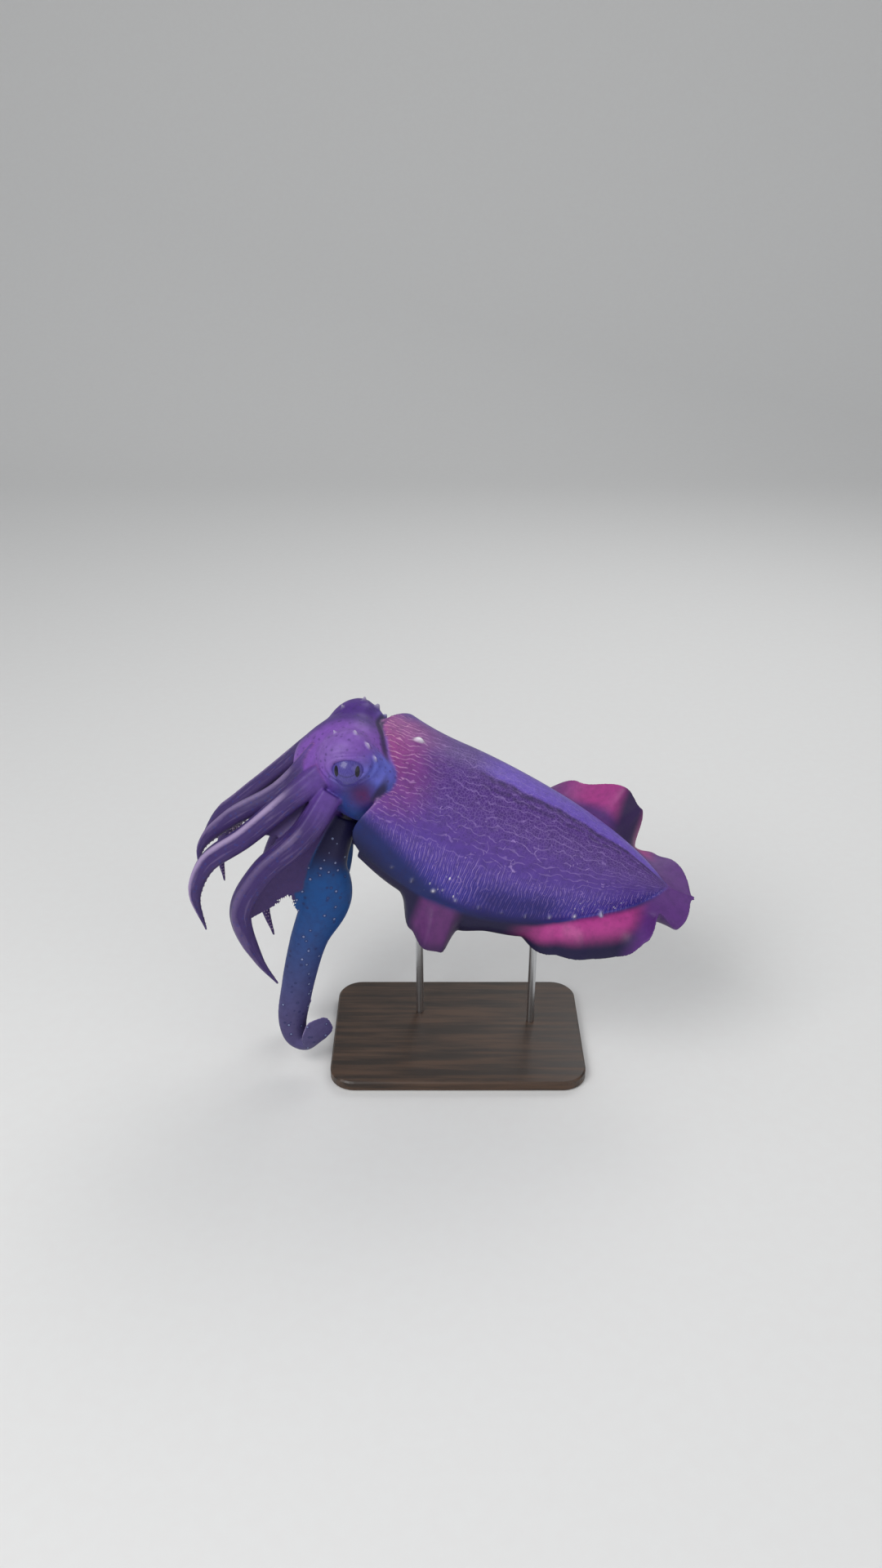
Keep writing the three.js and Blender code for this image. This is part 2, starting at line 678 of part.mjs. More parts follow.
// The mouth's lip, turned in profile round its axis.
function mouthSolid(grow = 0) {
  const { ring, lip, height } = MOUTH;
  const profile = [
    [0, -height - grow], [ring + lip + grow, -height - grow], [ring + lip + grow, 0],
    [ring + lip * 0.6 + grow, lip * 0.8 + grow], [ring * 0.75, lip + grow],
    [ring * 0.45, lip * 0.3 + grow], [0, lip * 0.1 + grow],
  ];
  const shape = new THREE.LatheGeometry(profile.map(([r, h]) => new THREE.Vector2(r, h)), MOUTH.sides);
  shape.rotateZ(Math.PI / 2);
  shape.applyMatrix4(new THREE.Matrix4().extractRotation(headFrame).setPosition(...MOUTH.at));
  return solidOf(shape);
}

const SKIN = { roughness: 0.5, metalness: 0 };
const FINISH = {
  mantle: { color: 0x64469b, ...SKIN },
  head: { color: 0x7350a0, ...SKIN },
  arm: { color: 0x826eaa, ...SKIN },
  ventral: { color: 0x3c5f94, ...SKIN },
  fin: { color: 0x913c82, ...SKIN },
  eye: { color: 0x3c4668, roughness: 0.15, metalness: 0 },
  mouth: { color: 0x9a8496, ...SKIN },
  base: { color: 0x2b2b2e, roughness: 0.35, metalness: 0 },
  rod: { color: 0xb4b7ba, roughness: 0.3, metalness: 1 },
};

const animal = new THREE.Group();
animal.position.set(...ANIMAL_PLACE);
const model = new THREE.Group();
model.add(animal);

function place(name, body, finish, parent = animal) {
  const mesh = largest(body).getMesh();
  const geometry = new THREE.BufferGeometry();
  geometry.setAttribute('position', new THREE.BufferAttribute(new Float32Array(mesh.vertProperties), 3));
  geometry.setIndex(new THREE.BufferAttribute(new Uint32Array(mesh.triVerts), 1));
  geometry.computeVertexNormals();
  const piece = new THREE.Mesh(geometry, new THREE.MeshStandardMaterial(FINISH[finish]));
  piece.name = name;
  parent.add(piece);
}

// Eyes, head and mantle, each cut clear of the one before.
const SIDES = [['left', -1], ['right', 1]];
let head = headSolid();
for (const [, side] of SIDES) {
  head = head.subtract(openingSolid(side));
  head = head.add(lidSolid(side, LID.upper));
  head = head.add(lidSolid(side, LID.lower));
  for (const bump of HEAD_PAPILLAE) {
    const [back, out, up] = bump.at;
    const toward = new THREE.Vector3(back, out * side, up).sub(HEAD_MIDDLE).normalize();
    const root = headSkin(toward).applyMatrix4(headFrame);
    const outward = toward.clone().transformDirection(headFrame);
    const along = new THREE.Vector3(...HEAD_PAPILLA.lie).transformDirection(headFrame);
    const wide = bump.size * HEAD_PAPILLA.slim;
    const sizes = { long: bump.size, wide, tall: bump.tall, sunk: HEAD_PAPILLA.sunk };
    head = head.add(papillaSolid(root, outward, along, sizes));
  }
}
for (const [name, side] of SIDES) {
  head = head.subtract(eyeSolid(side, GAP));
  place(`eye_${name}`, eyeSolid(side), 'eye');
}
place('head', head, 'head');
const headCut = headSolid(GAP);
let mantle = mantleSolid().subtract(headCut);
for (let i = 0; i < FLANK_PAPILLAE.count; i += 1) {
  const { from, to, angle } = FLANK_PAPILLAE;
  const s = from + ((to - from) * i) / (FLANK_PAPILLAE.count - 1);
  mantle = mantle.add(mantlePapilla(s, angle, FLANK_PAPILLAE));
  mantle = mantle.add(mantlePapilla(s, 180 - angle, FLANK_PAPILLAE));
}
mantle = mantle.add(mantlePapilla(BACK_PAPILLA.s, BACK_PAPILLA.angle, BACK_PAPILLA));
place('mantle', mantle, 'mantle');
const mantleCut = mantleSolid(GAP);

// The mouth and the arms round it.
const mouth = mouthSolid().subtract(headCut);
place('mouth', mouth, 'mouth');
const taken = [headCut, mantleCut, mouthSolid(GAP)];
for (const [name, arm] of Object.entries(ARMS)) {
  const points = arm.path.map((p) => new THREE.Vector3(...p));
  arm.curve = new THREE.CatmullRomCurve3(points, false, 'centripetal');
  arm.length = arm.curve.getLength();
  const cuts = [];
  ARM_LENGTHS.forEach((length, part) => {
    let body = armSolid(arm, part);
    for (const other of taken) {
      body = body.subtract(other);
    }
    place(`${name}_${length}`, body, arm.shape ? 'ventral' : 'arm');
    cuts.push(armSolid(arm, part, GAP));
  });
  taken.push(...cuts);
}

// The funnel, cut clear of all round it.
let funnel = funnelSolid();
for (const other of taken) {
  funnel = funnel.subtract(other);
}
place('funnel', funnel, 'head');

// The fins, in three lengths each.
const inset = GAP / 2 / MANTLE.length;
for (const [name] of SIDES) {
  FIN_LENGTHS.forEach((length, part) => {
    const body = finSolid(name, FIN_CUTS[part] + inset, FIN_CUTS[part + 1] - inset);
    place(`fin_${name}_${length}`, body.subtract(mantleCut), 'fin');
  });
}

// The stand: a bevelled base, and two rods from it up to the belly.
const outline = new THREE.Shape();
const halfLong = BASE.long / 2 - BASE.bevel;
const halfWide = BASE.wide / 2 - BASE.bevel;
outline.absarc(halfLong - BASE.corner, halfWide - BASE.corner, BASE.corner, 0, Math.PI / 2);
outline.absarc(BASE.corner - halfLong, halfWide - BASE.corner, BASE.corner, Math.PI / 2, Math.PI);
outline.absarc(BASE.corner - halfLong, BASE.corner - halfWide, BASE.corner, Math.PI, 1.5 * Math.PI);
outline.absarc(halfLong - BASE.corner, BASE.corner - halfWide, BASE.corner, 1.5 * Math.PI, 2 * Math.PI);
const slab = new THREE.ExtrudeGeometry(outline, {
  depth: BASE.thick - 2 * BASE.bevel, bevelThickness: BASE.bevel, bevelSize: BASE.bevel,
  bevelSegments: 1, curveSegments: 4,
});
slab.translate(0, 0, BASE.bevel);
place('stand_base', solidOf(slab), 'base', model);
const floorLevel = BASE.thick + GAP - ANIMAL_PLACE[2];
['front', 'rear'].forEach((name, i) => {
  const s = ROD.fromMantle[i];
  const belly = mantlePoint(s, 270);
  belly.y = mantleShares(s).half * ROD.aside;
  const top = belly.applyMatrix4(mantleFrame);
  const height = top.z + ROD.into - floorLevel;
  const rod = new THREE.CylinderGeometry(ROD.radius, ROD.radius, height, ROD.sides);
  rod.rotateX(Math.PI / 2);
  rod.translate(top.x, top.y, floorLevel + height / 2);
  place(`stand_rod_${name}`, solidOf(rod).subtract(mantleCut), 'rod');
});

export default model;
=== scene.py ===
import math

import bpy
import numpy as np
from mathutils.kdtree import KDTree
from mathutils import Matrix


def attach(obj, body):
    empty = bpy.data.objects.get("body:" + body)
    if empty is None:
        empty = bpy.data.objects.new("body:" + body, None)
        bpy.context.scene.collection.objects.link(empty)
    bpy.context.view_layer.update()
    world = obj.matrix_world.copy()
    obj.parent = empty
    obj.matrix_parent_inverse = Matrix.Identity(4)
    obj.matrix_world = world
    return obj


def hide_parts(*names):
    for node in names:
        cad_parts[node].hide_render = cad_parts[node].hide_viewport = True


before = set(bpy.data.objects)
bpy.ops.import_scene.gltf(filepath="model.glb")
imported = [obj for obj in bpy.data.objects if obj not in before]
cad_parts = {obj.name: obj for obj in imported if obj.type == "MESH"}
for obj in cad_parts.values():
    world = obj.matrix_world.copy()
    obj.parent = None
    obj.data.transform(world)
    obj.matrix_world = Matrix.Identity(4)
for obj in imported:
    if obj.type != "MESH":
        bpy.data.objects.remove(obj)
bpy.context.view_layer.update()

# Stage. A photographer's pale sweep, matt paper on a floor that curves up into a wall, with a
# camera that looks down on the model as in the photo, and large soft lights round it.

# where the animal's own frame stands over the middle of the base, in millimetres
ANIMAL_PLACE = np.array([-22.0, -18.0, 304.0])
CAMERA_FROM_ANIMAL = np.array([0.0, -1298.17, 751.51])
CAMERA_LENS = 28.0
CAMERA_DOWN = 27.0
SWEEP_COLOURS = ((0.795, 0.79, 0.78), (0.80, 0.80, 0.79))
SWEEP_HALF_WIDTH = 9.0
SWEEP_FRONT = -8.0
SWEEP_BACK = 3.2
SWEEP_BEND = 1.6
SWEEP_TOP = 9.0
LIGHTS = [
    {"name": "key", "at": (-1.5, -1.7, 2.5), "size": 1.8, "power": 52.0},
    {"name": "fill", "at": (2.1, -1.9, 1.3), "size": 2.2, "power": 15.0},
    {"name": "back", "at": (0.9, 1.7, 2.3), "size": 1.6, "power": 19.0},
]
LIGHTS_AIM = np.array([0.0, 0.0, 0.3])
ROOM_LIGHT = 0.42
ROOM_COLOUR = (0.95, 0.97, 1.0, 1.0)


class Wire:
    """A socket in a material's node tree, so that shader maths reads as plain expressions."""

    def __init__(self, tree, socket=None):
        self.tree = tree
        self.socket = socket

    def node(self, kind, settings=None, inputs=None, output=0):
        made = self.tree.nodes.new("ShaderNode" + kind)
        for name, value in (settings or {}).items():
            setattr(made, name, value)
        for name, value in (inputs or {}).items():
            if isinstance(value, Wire):
                self.tree.links.new(value.socket, made.inputs[name])
            else:
                made.inputs[name].default_value = value
        return Wire(self.tree, made.outputs[output])

    def math(self, operation, *values):
        return self.node("Math", {"operation": operation}, dict(enumerate(values)))

    def __add__(self, other):
        return self.math("ADD", self, other)

    def __sub__(self, other):
        return self.math("SUBTRACT", self, other)

    def __rsub__(self, other):
        return self.math("SUBTRACT", other, self)

    def __mul__(self, other):
        return self.math("MULTIPLY", self, other)

    def size(self):
        """The number without its sign."""
        return self.math("ABSOLUTE", self)

    def squared(self):
        return self.math("POWER", self, 2.0)

    __radd__ = __add__
    __rmul__ = __mul__

    def step(self, low, high):
        """0 below low, 1 above high and smooth between."""
        settings = {"interpolation_type": "SMOOTHSTEP"}
        return self.node("MapRange", settings, {"Value": self, "From Min": low, "From Max": high})

    def value(self, name):
        """A number kept on the mesh's points."""
        return self.node("Attribute", {"attribute_name": name}, output=2)

    def vector(self, x, y, z=0.0):
        return self.node("CombineXYZ", None, {0: x, 1: y, 2: z})

    def noise(self, place, scale, detail=2.0, roughness=0.5):
        inputs = {"Vector": place, "Scale": scale, "Detail": detail, "Roughness": roughness}
        return self.node("TexNoise", None, inputs)

    def blend(self, share, first, second):
        """From the first colour to the second."""
        colours = [(*c, 1.0) if isinstance(c, tuple) else c for c in (first, second)]
        inputs = {0: share, 6: colours[0], 7: colours[1]}
        return self.node("Mix", {"data_type": "RGBA", "clamp_factor": True}, inputs, 2)


def new_material(name):
    """A material with one main shader: its first wire, and the shader's sockets."""
    material = bpy.data.materials.new(name)
    material.use_nodes = True
    shader = material.node_tree.nodes["Principled BSDF"]
    return material, Wire(material.node_tree), shader


def feed(wire, shader, name):
    wire.tree.links.new(wire.socket, shader.inputs[name])


def new_mesh(name, points, faces):
    """A mesh object from points in metres and faces of any number of corners."""
    mesh = bpy.data.meshes.new(name)
    mesh.from_pydata(np.asarray(points, float).tolist(), [], [list(map(int, f)) for f in faces])
    mesh.update()
    piece = bpy.data.objects.new(name, mesh)
    bpy.context.scene.collection.objects.link(piece)
    return piece


def smooth(piece):
    for face in piece.data.polygons:
        face.use_smooth = True


camera_data = bpy.data.cameras.new("camera")
camera_data.lens = CAMERA_LENS
camera = bpy.data.objects.new("camera", camera_data)
bpy.context.scene.collection.objects.link(camera)
camera.location = (ANIMAL_PLACE + CAMERA_FROM_ANIMAL) / 1000.0
camera.rotation_euler = (math.radians(90.0 - CAMERA_DOWN), 0.0, 0.0)
bpy.context.scene.camera = camera

sweep_line = [(SWEEP_FRONT, 0.0), (SWEEP_BACK, 0.0)]
for turn in np.linspace(0.0, math.pi / 2, 17)[1:]:
    sweep_line.append((SWEEP_BACK + SWEEP_BEND * math.sin(turn), SWEEP_BEND * (1 - math.cos(turn))))
sweep_line.append((SWEEP_BACK + SWEEP_BEND, SWEEP_TOP))
sweep_points = [(side * SWEEP_HALF_WIDTH, y, z) for y, z in sweep_line for side in (-1, 1)]
sweep_faces = [(2 * i, 2 * i + 1, 2 * i + 3, 2 * i + 2) for i in range(len(sweep_line) - 1)]
sweep = new_mesh("floor_sweep", sweep_points, sweep_faces)
smooth(sweep)
paper, wire, shader = new_material("pale_paper")
grain = wire.noise(wire.node("TexCoord", output=3), 60.0, 3.0)
feed(wire.blend(grain.step(0.3, 0.7), *SWEEP_COLOURS), shader, "Base Color")
shader.inputs["Roughness"].default_value = 0.9
sweep.data.materials.append(paper)

for light in LIGHTS:
    lamp = bpy.data.lights.new(light["name"], "AREA")
    lamp.energy = light["power"]
    lamp.size = light["size"]
    lamp_object = bpy.data.objects.new(light["name"], lamp)
    bpy.context.scene.collection.objects.link(lamp_object)
    aim = LIGHTS_AIM - np.array(light["at"])
    lamp_object.location = light["at"]
    dip = math.atan2(math.hypot(aim[0], aim[1]), -aim[2])
    lamp_object.rotation_euler = (dip, 0.0, math.atan2(aim[1], aim[0]) - math.pi / 2)
world = bpy.data.worlds.new("room")
world.use_nodes = True
world.node_tree.nodes["Background"].inputs["Color"].default_value = ROOM_COLOUR
world.node_tree.nodes["Background"].inputs["Strength"].default_value = ROOM_LIGHT
bpy.context.scene.world = world
bpy.context.scene.view_settings.view_transform = "Standard"

# Mantle. The bag of muscle over the cuttlebone: a flattened, tapering body whose back rises
# between the two fin bases, open at the front round the neck. Cast whole, with its margin a
# free lip that runs forward in a lobe over the neck.

MANTLE = {"length": 390.0, "width": 224.0, "rise": 78.0, "dip": 47.0, "belly": 46.0}
MANTLE_POSE = {"at": (-88.0, 27.0, 86.0), "yaw": 8.0, "pitch": 19.0, "roll": 23.0}
# the front's share of each half size, where it is full, and how it falls away to the tail
MANTLE_FORM = {"half": (0.94, 0.4, 3, 0.85), "top": (0.9, 0.3, 2.4, 0.8), "belly": (0.86, 0.25, 2.6, 0.8)}
# how square the back and the belly are in section, and how much rounder the front is, up to where
MANTLE_SECTION = {"back": (2.2, 0.8), "belly": (2.8, 0.6), "round": 0.24, "round_to": 0.25}
# the margin runs forward in a lobe and back in notches: millimetres, angle and spread
MANTLE_MARGIN = [(-10.0, 74, 17), (21.0, 124, 27), (18.0, 24, 27), (22.0, 195, 24), (22.0, 345, 24),
                 (16.0, 270, 45)]
MARGIN_FADE = 0.3
# the pocket that the neck fills, rounded over at its lip: share of the opening and millimetres in
MANTLE_POCKET = [(0.25, 26.0), (0.62, 23.4), (0.84, 12.0), (0.91, 3.5), (0.945, 0.8), (0.975, 0.0)]
MANTLE_SIDES = 220
MANTLE_STATIONS = 190

flesh = []


def pose_of(at, yaw, pitch, roll):
    """The turn and the place of a part's own frame: back, right and up."""
    y, p, r = np.radians([yaw, pitch, roll])
    about_x = np.array([[1, 0, 0], [0, np.cos(r), -np.sin(r)], [0, np.sin(r), np.cos(r)]])
    about_y = np.array([[np.cos(p), 0, np.sin(p)], [0, 1, 0], [-np.sin(p), 0, np.cos(p)]])
    about_z = np.array([[np.cos(y), np.sin(y), 0], [-np.sin(y), np.cos(y), 0], [0, 0, 1]])
    return about_z @ about_y @ about_x, np.array(at)


def ease(x):
    x = np.clip(x, 0.0, 1.0)
    return x * x * (3.0 - 2.0 * x)


def bell(x, middle, spread):
    return np.exp(-(((x - middle) / spread) ** 2))


mantle_turn, mantle_at = pose_of(**MANTLE_POSE)


def mantle_share(s, name):
    front, full, power, fall = MANTLE_FORM[name]
    return (front + (1 - front) * ease(s / full)) * (1 - s ** power) ** fall


def mantle_shares(s):
    """Half width, height of the back, dip of the fin line and depth of the belly, along it."""
    half = MANTLE["width"] / 2 * mantle_share(s, "half")
    top = MANTLE["rise"] * mantle_share(s, "top")
    line = -MANTLE["dip"] * 4 * s * (1 - s)
    belly = MANTLE["belly"] * mantle_share(s, "belly")
    return half, top, line, belly


def mantle_margin(s, degrees):
    """How far the front edge runs forward or back at an angle round the opening."""
    edge = 0.0
    for run, middle, spread in MANTLE_MARGIN:
        edge = edge + run * bell((degrees - middle + 180) % 360, 180, spread)
    return edge * np.clip(1 - s / MARGIN_FADE, 0, 1) ** 2


def mantle_point(s, degrees):
    """The mantle's skin in its own frame: 0 is the right fin base, 90 the back, 270 the belly."""
    half, top, line, belly = mantle_shares(s)
    across = np.cos(np.radians(degrees))
    up = np.sin(np.radians(degrees))
    rounder = MANTLE_SECTION["round"] * (1 - ease(s / MANTLE_SECTION["round_to"]))
    back_power, back_fall = MANTLE_SECTION["back"]
    belly_power, belly_fall = MANTLE_SECTION["belly"]
    back = (top - line) * (1 - np.abs(across) ** back_power) ** (back_fall - rounder)
    under = belly * (1 - np.abs(across) ** belly_power) ** (belly_fall - rounder / 3)
    height = np.where(up >= 0, line + back, line - under)
    return np.stack([MANTLE["length"] * s + mantle_margin(s, degrees), half * across, height], -1)


def rings_to_mesh(rings):
    """Points and faces of a skin over rings of points, closed by a middle point at each end."""
    count, sides = rings.shape[:2]
    points = np.concatenate([rings.reshape(-1, 3), rings[0].mean(0)[None], rings[-1].mean(0)[None]])
    i, k = np.meshgrid(np.arange(count - 1), np.arange(sides), indexing="ij")
    k_next = (k + 1) % sides
    here, ahead = i * sides, (i + 1) * sides
    faces = np.stack([here + k, here + k_next, ahead + k_next, ahead + k], -1).reshape(-1, 4).tolist()
    last = (count - 1) * sides
    for k in range(sides):
        faces.append([(k + 1) % sides, k, count * sides])
        faces.append([last + k, last + (k + 1) % sides, count * sides + 1])
    return points, faces


def add_flesh(kind, points, faces, **facts):
    """Keeps one closed form of the body, with what its points know of their place on it."""
    volume = 0.0
    for face in faces:
        for a, b in zip(face[1:-1], face[2:]):
            volume += np.dot(points[face[0]], np.cross(points[a], points[b]))
    if volume < 0:
        faces = [face[::-1] for face in faces]
    known = {name: np.resize(values, len(points)) for name, values in facts.items()}
    flesh.append({"kind": kind, "points": points, "faces": faces, "facts": known})


mantle_rings = []
angles = np.arange(MANTLE_SIDES) * 360.0 / MANTLE_SIDES
for shrink, back in MANTLE_POCKET:
    ring = mantle_point(np.zeros(MANTLE_SIDES), angles)
    middle = mantle_shares(0.0)[1] * 0.25
    ring[:, 0] += back
    ring[:, 1] *= shrink
    ring[:, 2] = middle + (ring[:, 2] - middle) * shrink
    mantle_rings.append(ring)
for t in np.linspace(0.012, 0.985, MANTLE_STATIONS):
    s = 1 - (1 - t) ** 1.5
    mantle_rings.append(mantle_point(np.full(MANTLE_SIDES, s), angles))
mantle_rings = np.array(mantle_rings) @ mantle_turn.T + mantle_at
add_flesh("mantle", *rings_to_mesh(mantle_rings))

# Head. A broad, rounded mass behind the arms, with a bulging orbit and brow on each side and a
# swollen cheek below each eye. Cast in one with the mantle's neck; the lids are raised folds.

HEAD_POSE = {"at": (-100.0, 4.0, 138.0), "yaw": 6.0, "pitch": -30.0, "roll": 4.0}
HEAD_MIDDLE = np.array([-16.0, 0.0, -22.0])
HEAD_BLEND = 5.0
HEAD_MASSES = [
    {"name": "cranium", "at": (-17, 0, 0), "radii": (48, 52, 42)},
    {"name": "neck", "at": (8, 12, -46), "radii": (37, 49, 41)},
    {"name": "arm crown", "at": (-52, 0, -12), "radii": (31, 43, 44)},
    {"name": "orbit", "at": (0, 46, 2), "radii": (29, 25, 27), "pair": True},
    {"name": "brow", "at": (2, 41, 22), "radii": (25, 21, 16), "pair": True},
    {"name": "cheek", "at": (-6, 36, -40), "radii": (40, 26, 41), "pair": True},
]
EYE_AT = (0.0, 56.0, 2.0)
EYE_RADIUS = 21.0
EYE_OPENING = (19.0, 10.5)
EYE_LIFT = 5.0
SOCKET_DEEP = 13.0
# the raised folds round each eye: height, place in openings from the middle, and spread
LID_FOLDS = [(3.4, 1.18, 0.2), (1.6, 1.75, 0.16), (-1.2, 1.5, 0.1)]
HEAD_AROUND = 300
HEAD_ALONG = 200
HEAD_PAPILLAE = [
    {"at": (24, 40, 30), "size": 5, "tall": 6},
    {"at": (34, 50, 16), "size": 6, "tall": 7},
    {"at": (34, 54, -2), "size": 5, "tall": 6},
    {"at": (2, 34, 44), "size": 4, "tall": 5},
]

head_turn, head_at = pose_of(**HEAD_POSE)
head_masses = []
for mass in HEAD_MASSES:
    for side in (-1, 1) if mass.get("pair") else (1,):
        x, y, z = mass["at"]
        head_masses.append((np.array([x, y * side, z], float), np.array(mass["radii"], float)))


def head_reach(directions):
    """How far the head's skin is from its middle along each ray."""
    near = np.full(len(directions), 5.0)
    far = np.full(len(directions), 150.0)
    for _ in range(26):
        reach = (near + far) / 2
        points = HEAD_MIDDLE + directions * reach[:, None]
        fill = sum(np.exp(HEAD_BLEND * (1 - np.linalg.norm((points - at) / radii, axis=1)))
                   for at, radii in head_masses)
        near = np.where(fill > 1, reach, near)
        far = np.where(fill > 1, far, reach)
    return near


def from_eye(points):
    """How far points are behind and above the eye's middle, level although the head is tipped."""
    tip = math.radians(HEAD_POSE["pitch"])
    along = points[:, 0] - EYE_AT[0]
    above = points[:, 2] - EYE_AT[2]
    level = above * math.cos(tip) - along * math.sin(tip) - EYE_LIFT
    return along * math.cos(tip) + above * math.sin(tip), level


polar = np.linspace(0.004, math.pi - 0.004, HEAD_ALONG)
turns = np.arange(HEAD_AROUND) * 2 * math.pi / HEAD_AROUND
polar_grid, turn_grid = np.meshgrid(polar, turns, indexing="ij")
directions = np.stack([np.sin(polar_grid) * np.cos(turn_grid), np.cos(polar_grid),
                       np.sin(polar_grid) * np.sin(turn_grid)], -1).reshape(-1, 3)
reach = head_reach(directions)
skin_points = HEAD_MIDDLE + directions * reach[:, None]
for side in (-1, 1):
    eye_x, eye_z = from_eye(skin_points)
    facing = ease((skin_points[:, 1] * side - 20) / 25)
    almond = np.hypot(eye_x / EYE_OPENING[0], eye_z / (EYE_OPENING[1] * (1 + 0.15 * (eye_z > 0))))
    socket = -SOCKET_DEEP * ease((1.0 - almond) / 0.3)
    lids = sum(high * bell(almond, middle, spread) for high, middle, spread in LID_FOLDS)
    reach = reach + facing * (socket + lids)
head_rings = (HEAD_MIDDLE + directions * reach[:, None]).reshape(HEAD_ALONG, HEAD_AROUND, 3)
add_flesh("head", *rings_to_mesh(head_rings @ head_turn.T + head_at))


# each ring of a papilla, from its sunk foot up: share of its height, of its width, and paleness
PAPILLA_PROFILE = [(-1, 1.1, 0), (0, 1.0, 0.1), (0.3, 0.78, 0.5), (0.65, 0.6, 0.9), (0.9, 0.4, 1.0),
                   (1.0, 0.15, 1.0)]
PAPILLA_SIDES = 16


def papilla(root, outward, along, long, wide, tall, sunk=4.0):
    """A flap of skin that stands on the body, broad at its foot and blunt at its top."""
    normal = outward / np.linalg.norm(outward)
    length = along - normal * np.dot(along, normal)
    length /= np.linalg.norm(length)
    width = np.cross(normal, length)
    turn = np.arange(PAPILLA_SIDES) * 2 * math.pi / PAPILLA_SIDES
    rings = []
    for rise, share, _ in PAPILLA_PROFILE:
        height = tall * rise if rise >= 0 else -sunk
        rings.append(root + normal * height + long * share * np.cos(turn)[:, None] * length
                     + wide * share * np.sin(turn)[:, None] * width)
    return rings_to_mesh(np.array(rings))


def papilla_tips():
    """How pale each point of a papilla is painted: its top, not its foot."""
    pale = np.repeat([ring[2] for ring in PAPILLA_PROFILE], PAPILLA_SIDES)
    return np.append(pale, [0, 1.0])


for bump in HEAD_PAPILLAE:
    for side in (-1, 1):
        toward = np.array(bump["at"]) * (1, side, 1) - HEAD_MIDDLE
        toward = toward / np.linalg.norm(toward)
        foot = (HEAD_MIDDLE + toward * head_reach(toward[None])[0]) @ head_turn.T + head_at
        shape = papilla(foot, head_turn @ toward, head_turn @ np.array([0.2, 0, 1.0]),
                        bump["size"], bump["size"] * 0.42, bump["tall"])
        add_flesh("head", *shape, tip=papilla_tips() * 0.4)

# Papillae of the mantle. Small blunt flaps of skin, a row along each flank above the fin and one
# on the back behind the head. Cast with the mantle, with pale tops.

FLANK_PAPILLAE = {"count": 10, "first": 0.16, "last": 0.82, "angle": 14, "long": 7, "wide": 2.4,
                  "tall": 4}
BACK_PAPILLA = {"s": 0.115, "angle": 78, "long": 8, "wide": 3.4, "tall": 6}

for k in range(FLANK_PAPILLAE["count"]):
    for side in (-1, 1):
        share = k / (FLANK_PAPILLAE["count"] - 1)
        s = FLANK_PAPILLAE["first"] + (FLANK_PAPILLAE["last"] - FLANK_PAPILLAE["first"]) * share
        degrees = 180.0 - FLANK_PAPILLAE["angle"] if side < 0 else FLANK_PAPILLAE["angle"]
        foot, ahead, above = (mantle_point(np.array(a), b) for a, b in
                              ((s, degrees), (s + 0.01, degrees), (s, degrees + 3 * side)))
        outward = np.cross(ahead - foot, above - foot)
        outward *= np.sign(outward[1] * side)
        bigger = 1.0 + 0.35 * math.sin(2.4 * k + side)
        shape = papilla(mantle_turn @ foot + mantle_at, mantle_turn @ outward,
                        mantle_turn @ (above - foot), FLANK_PAPILLAE["long"] * 0.5 * bigger,
                        FLANK_PAPILLAE["wide"] * 0.55, FLANK_PAPILLAE["tall"] * bigger)
        paleness = 0.12 + 0.88 * max(bell(s, 0.32, 0.05), bell(s, 0.76, 0.07))
        add_flesh("mantle", *shape, tip=papilla_tips() * paleness)
foot = mantle_point(np.array(BACK_PAPILLA["s"]), BACK_PAPILLA["angle"])
shape = papilla(mantle_turn @ foot + mantle_at, mantle_turn @ np.array([0, 0, 1.0]),
                mantle_turn @ np.array([1.0, 0, 0]), BACK_PAPILLA["long"], BACK_PAPILLA["wide"],
                BACK_PAPILLA["tall"])
add_flesh("mantle", *shape, tip=papilla_tips())

# Arms. Eight tapering arms round the mouth, let down in long curves, each with a keel along its
# outer side and a flat sucker face; the lowest pair is broad and flat. Cast with the head.

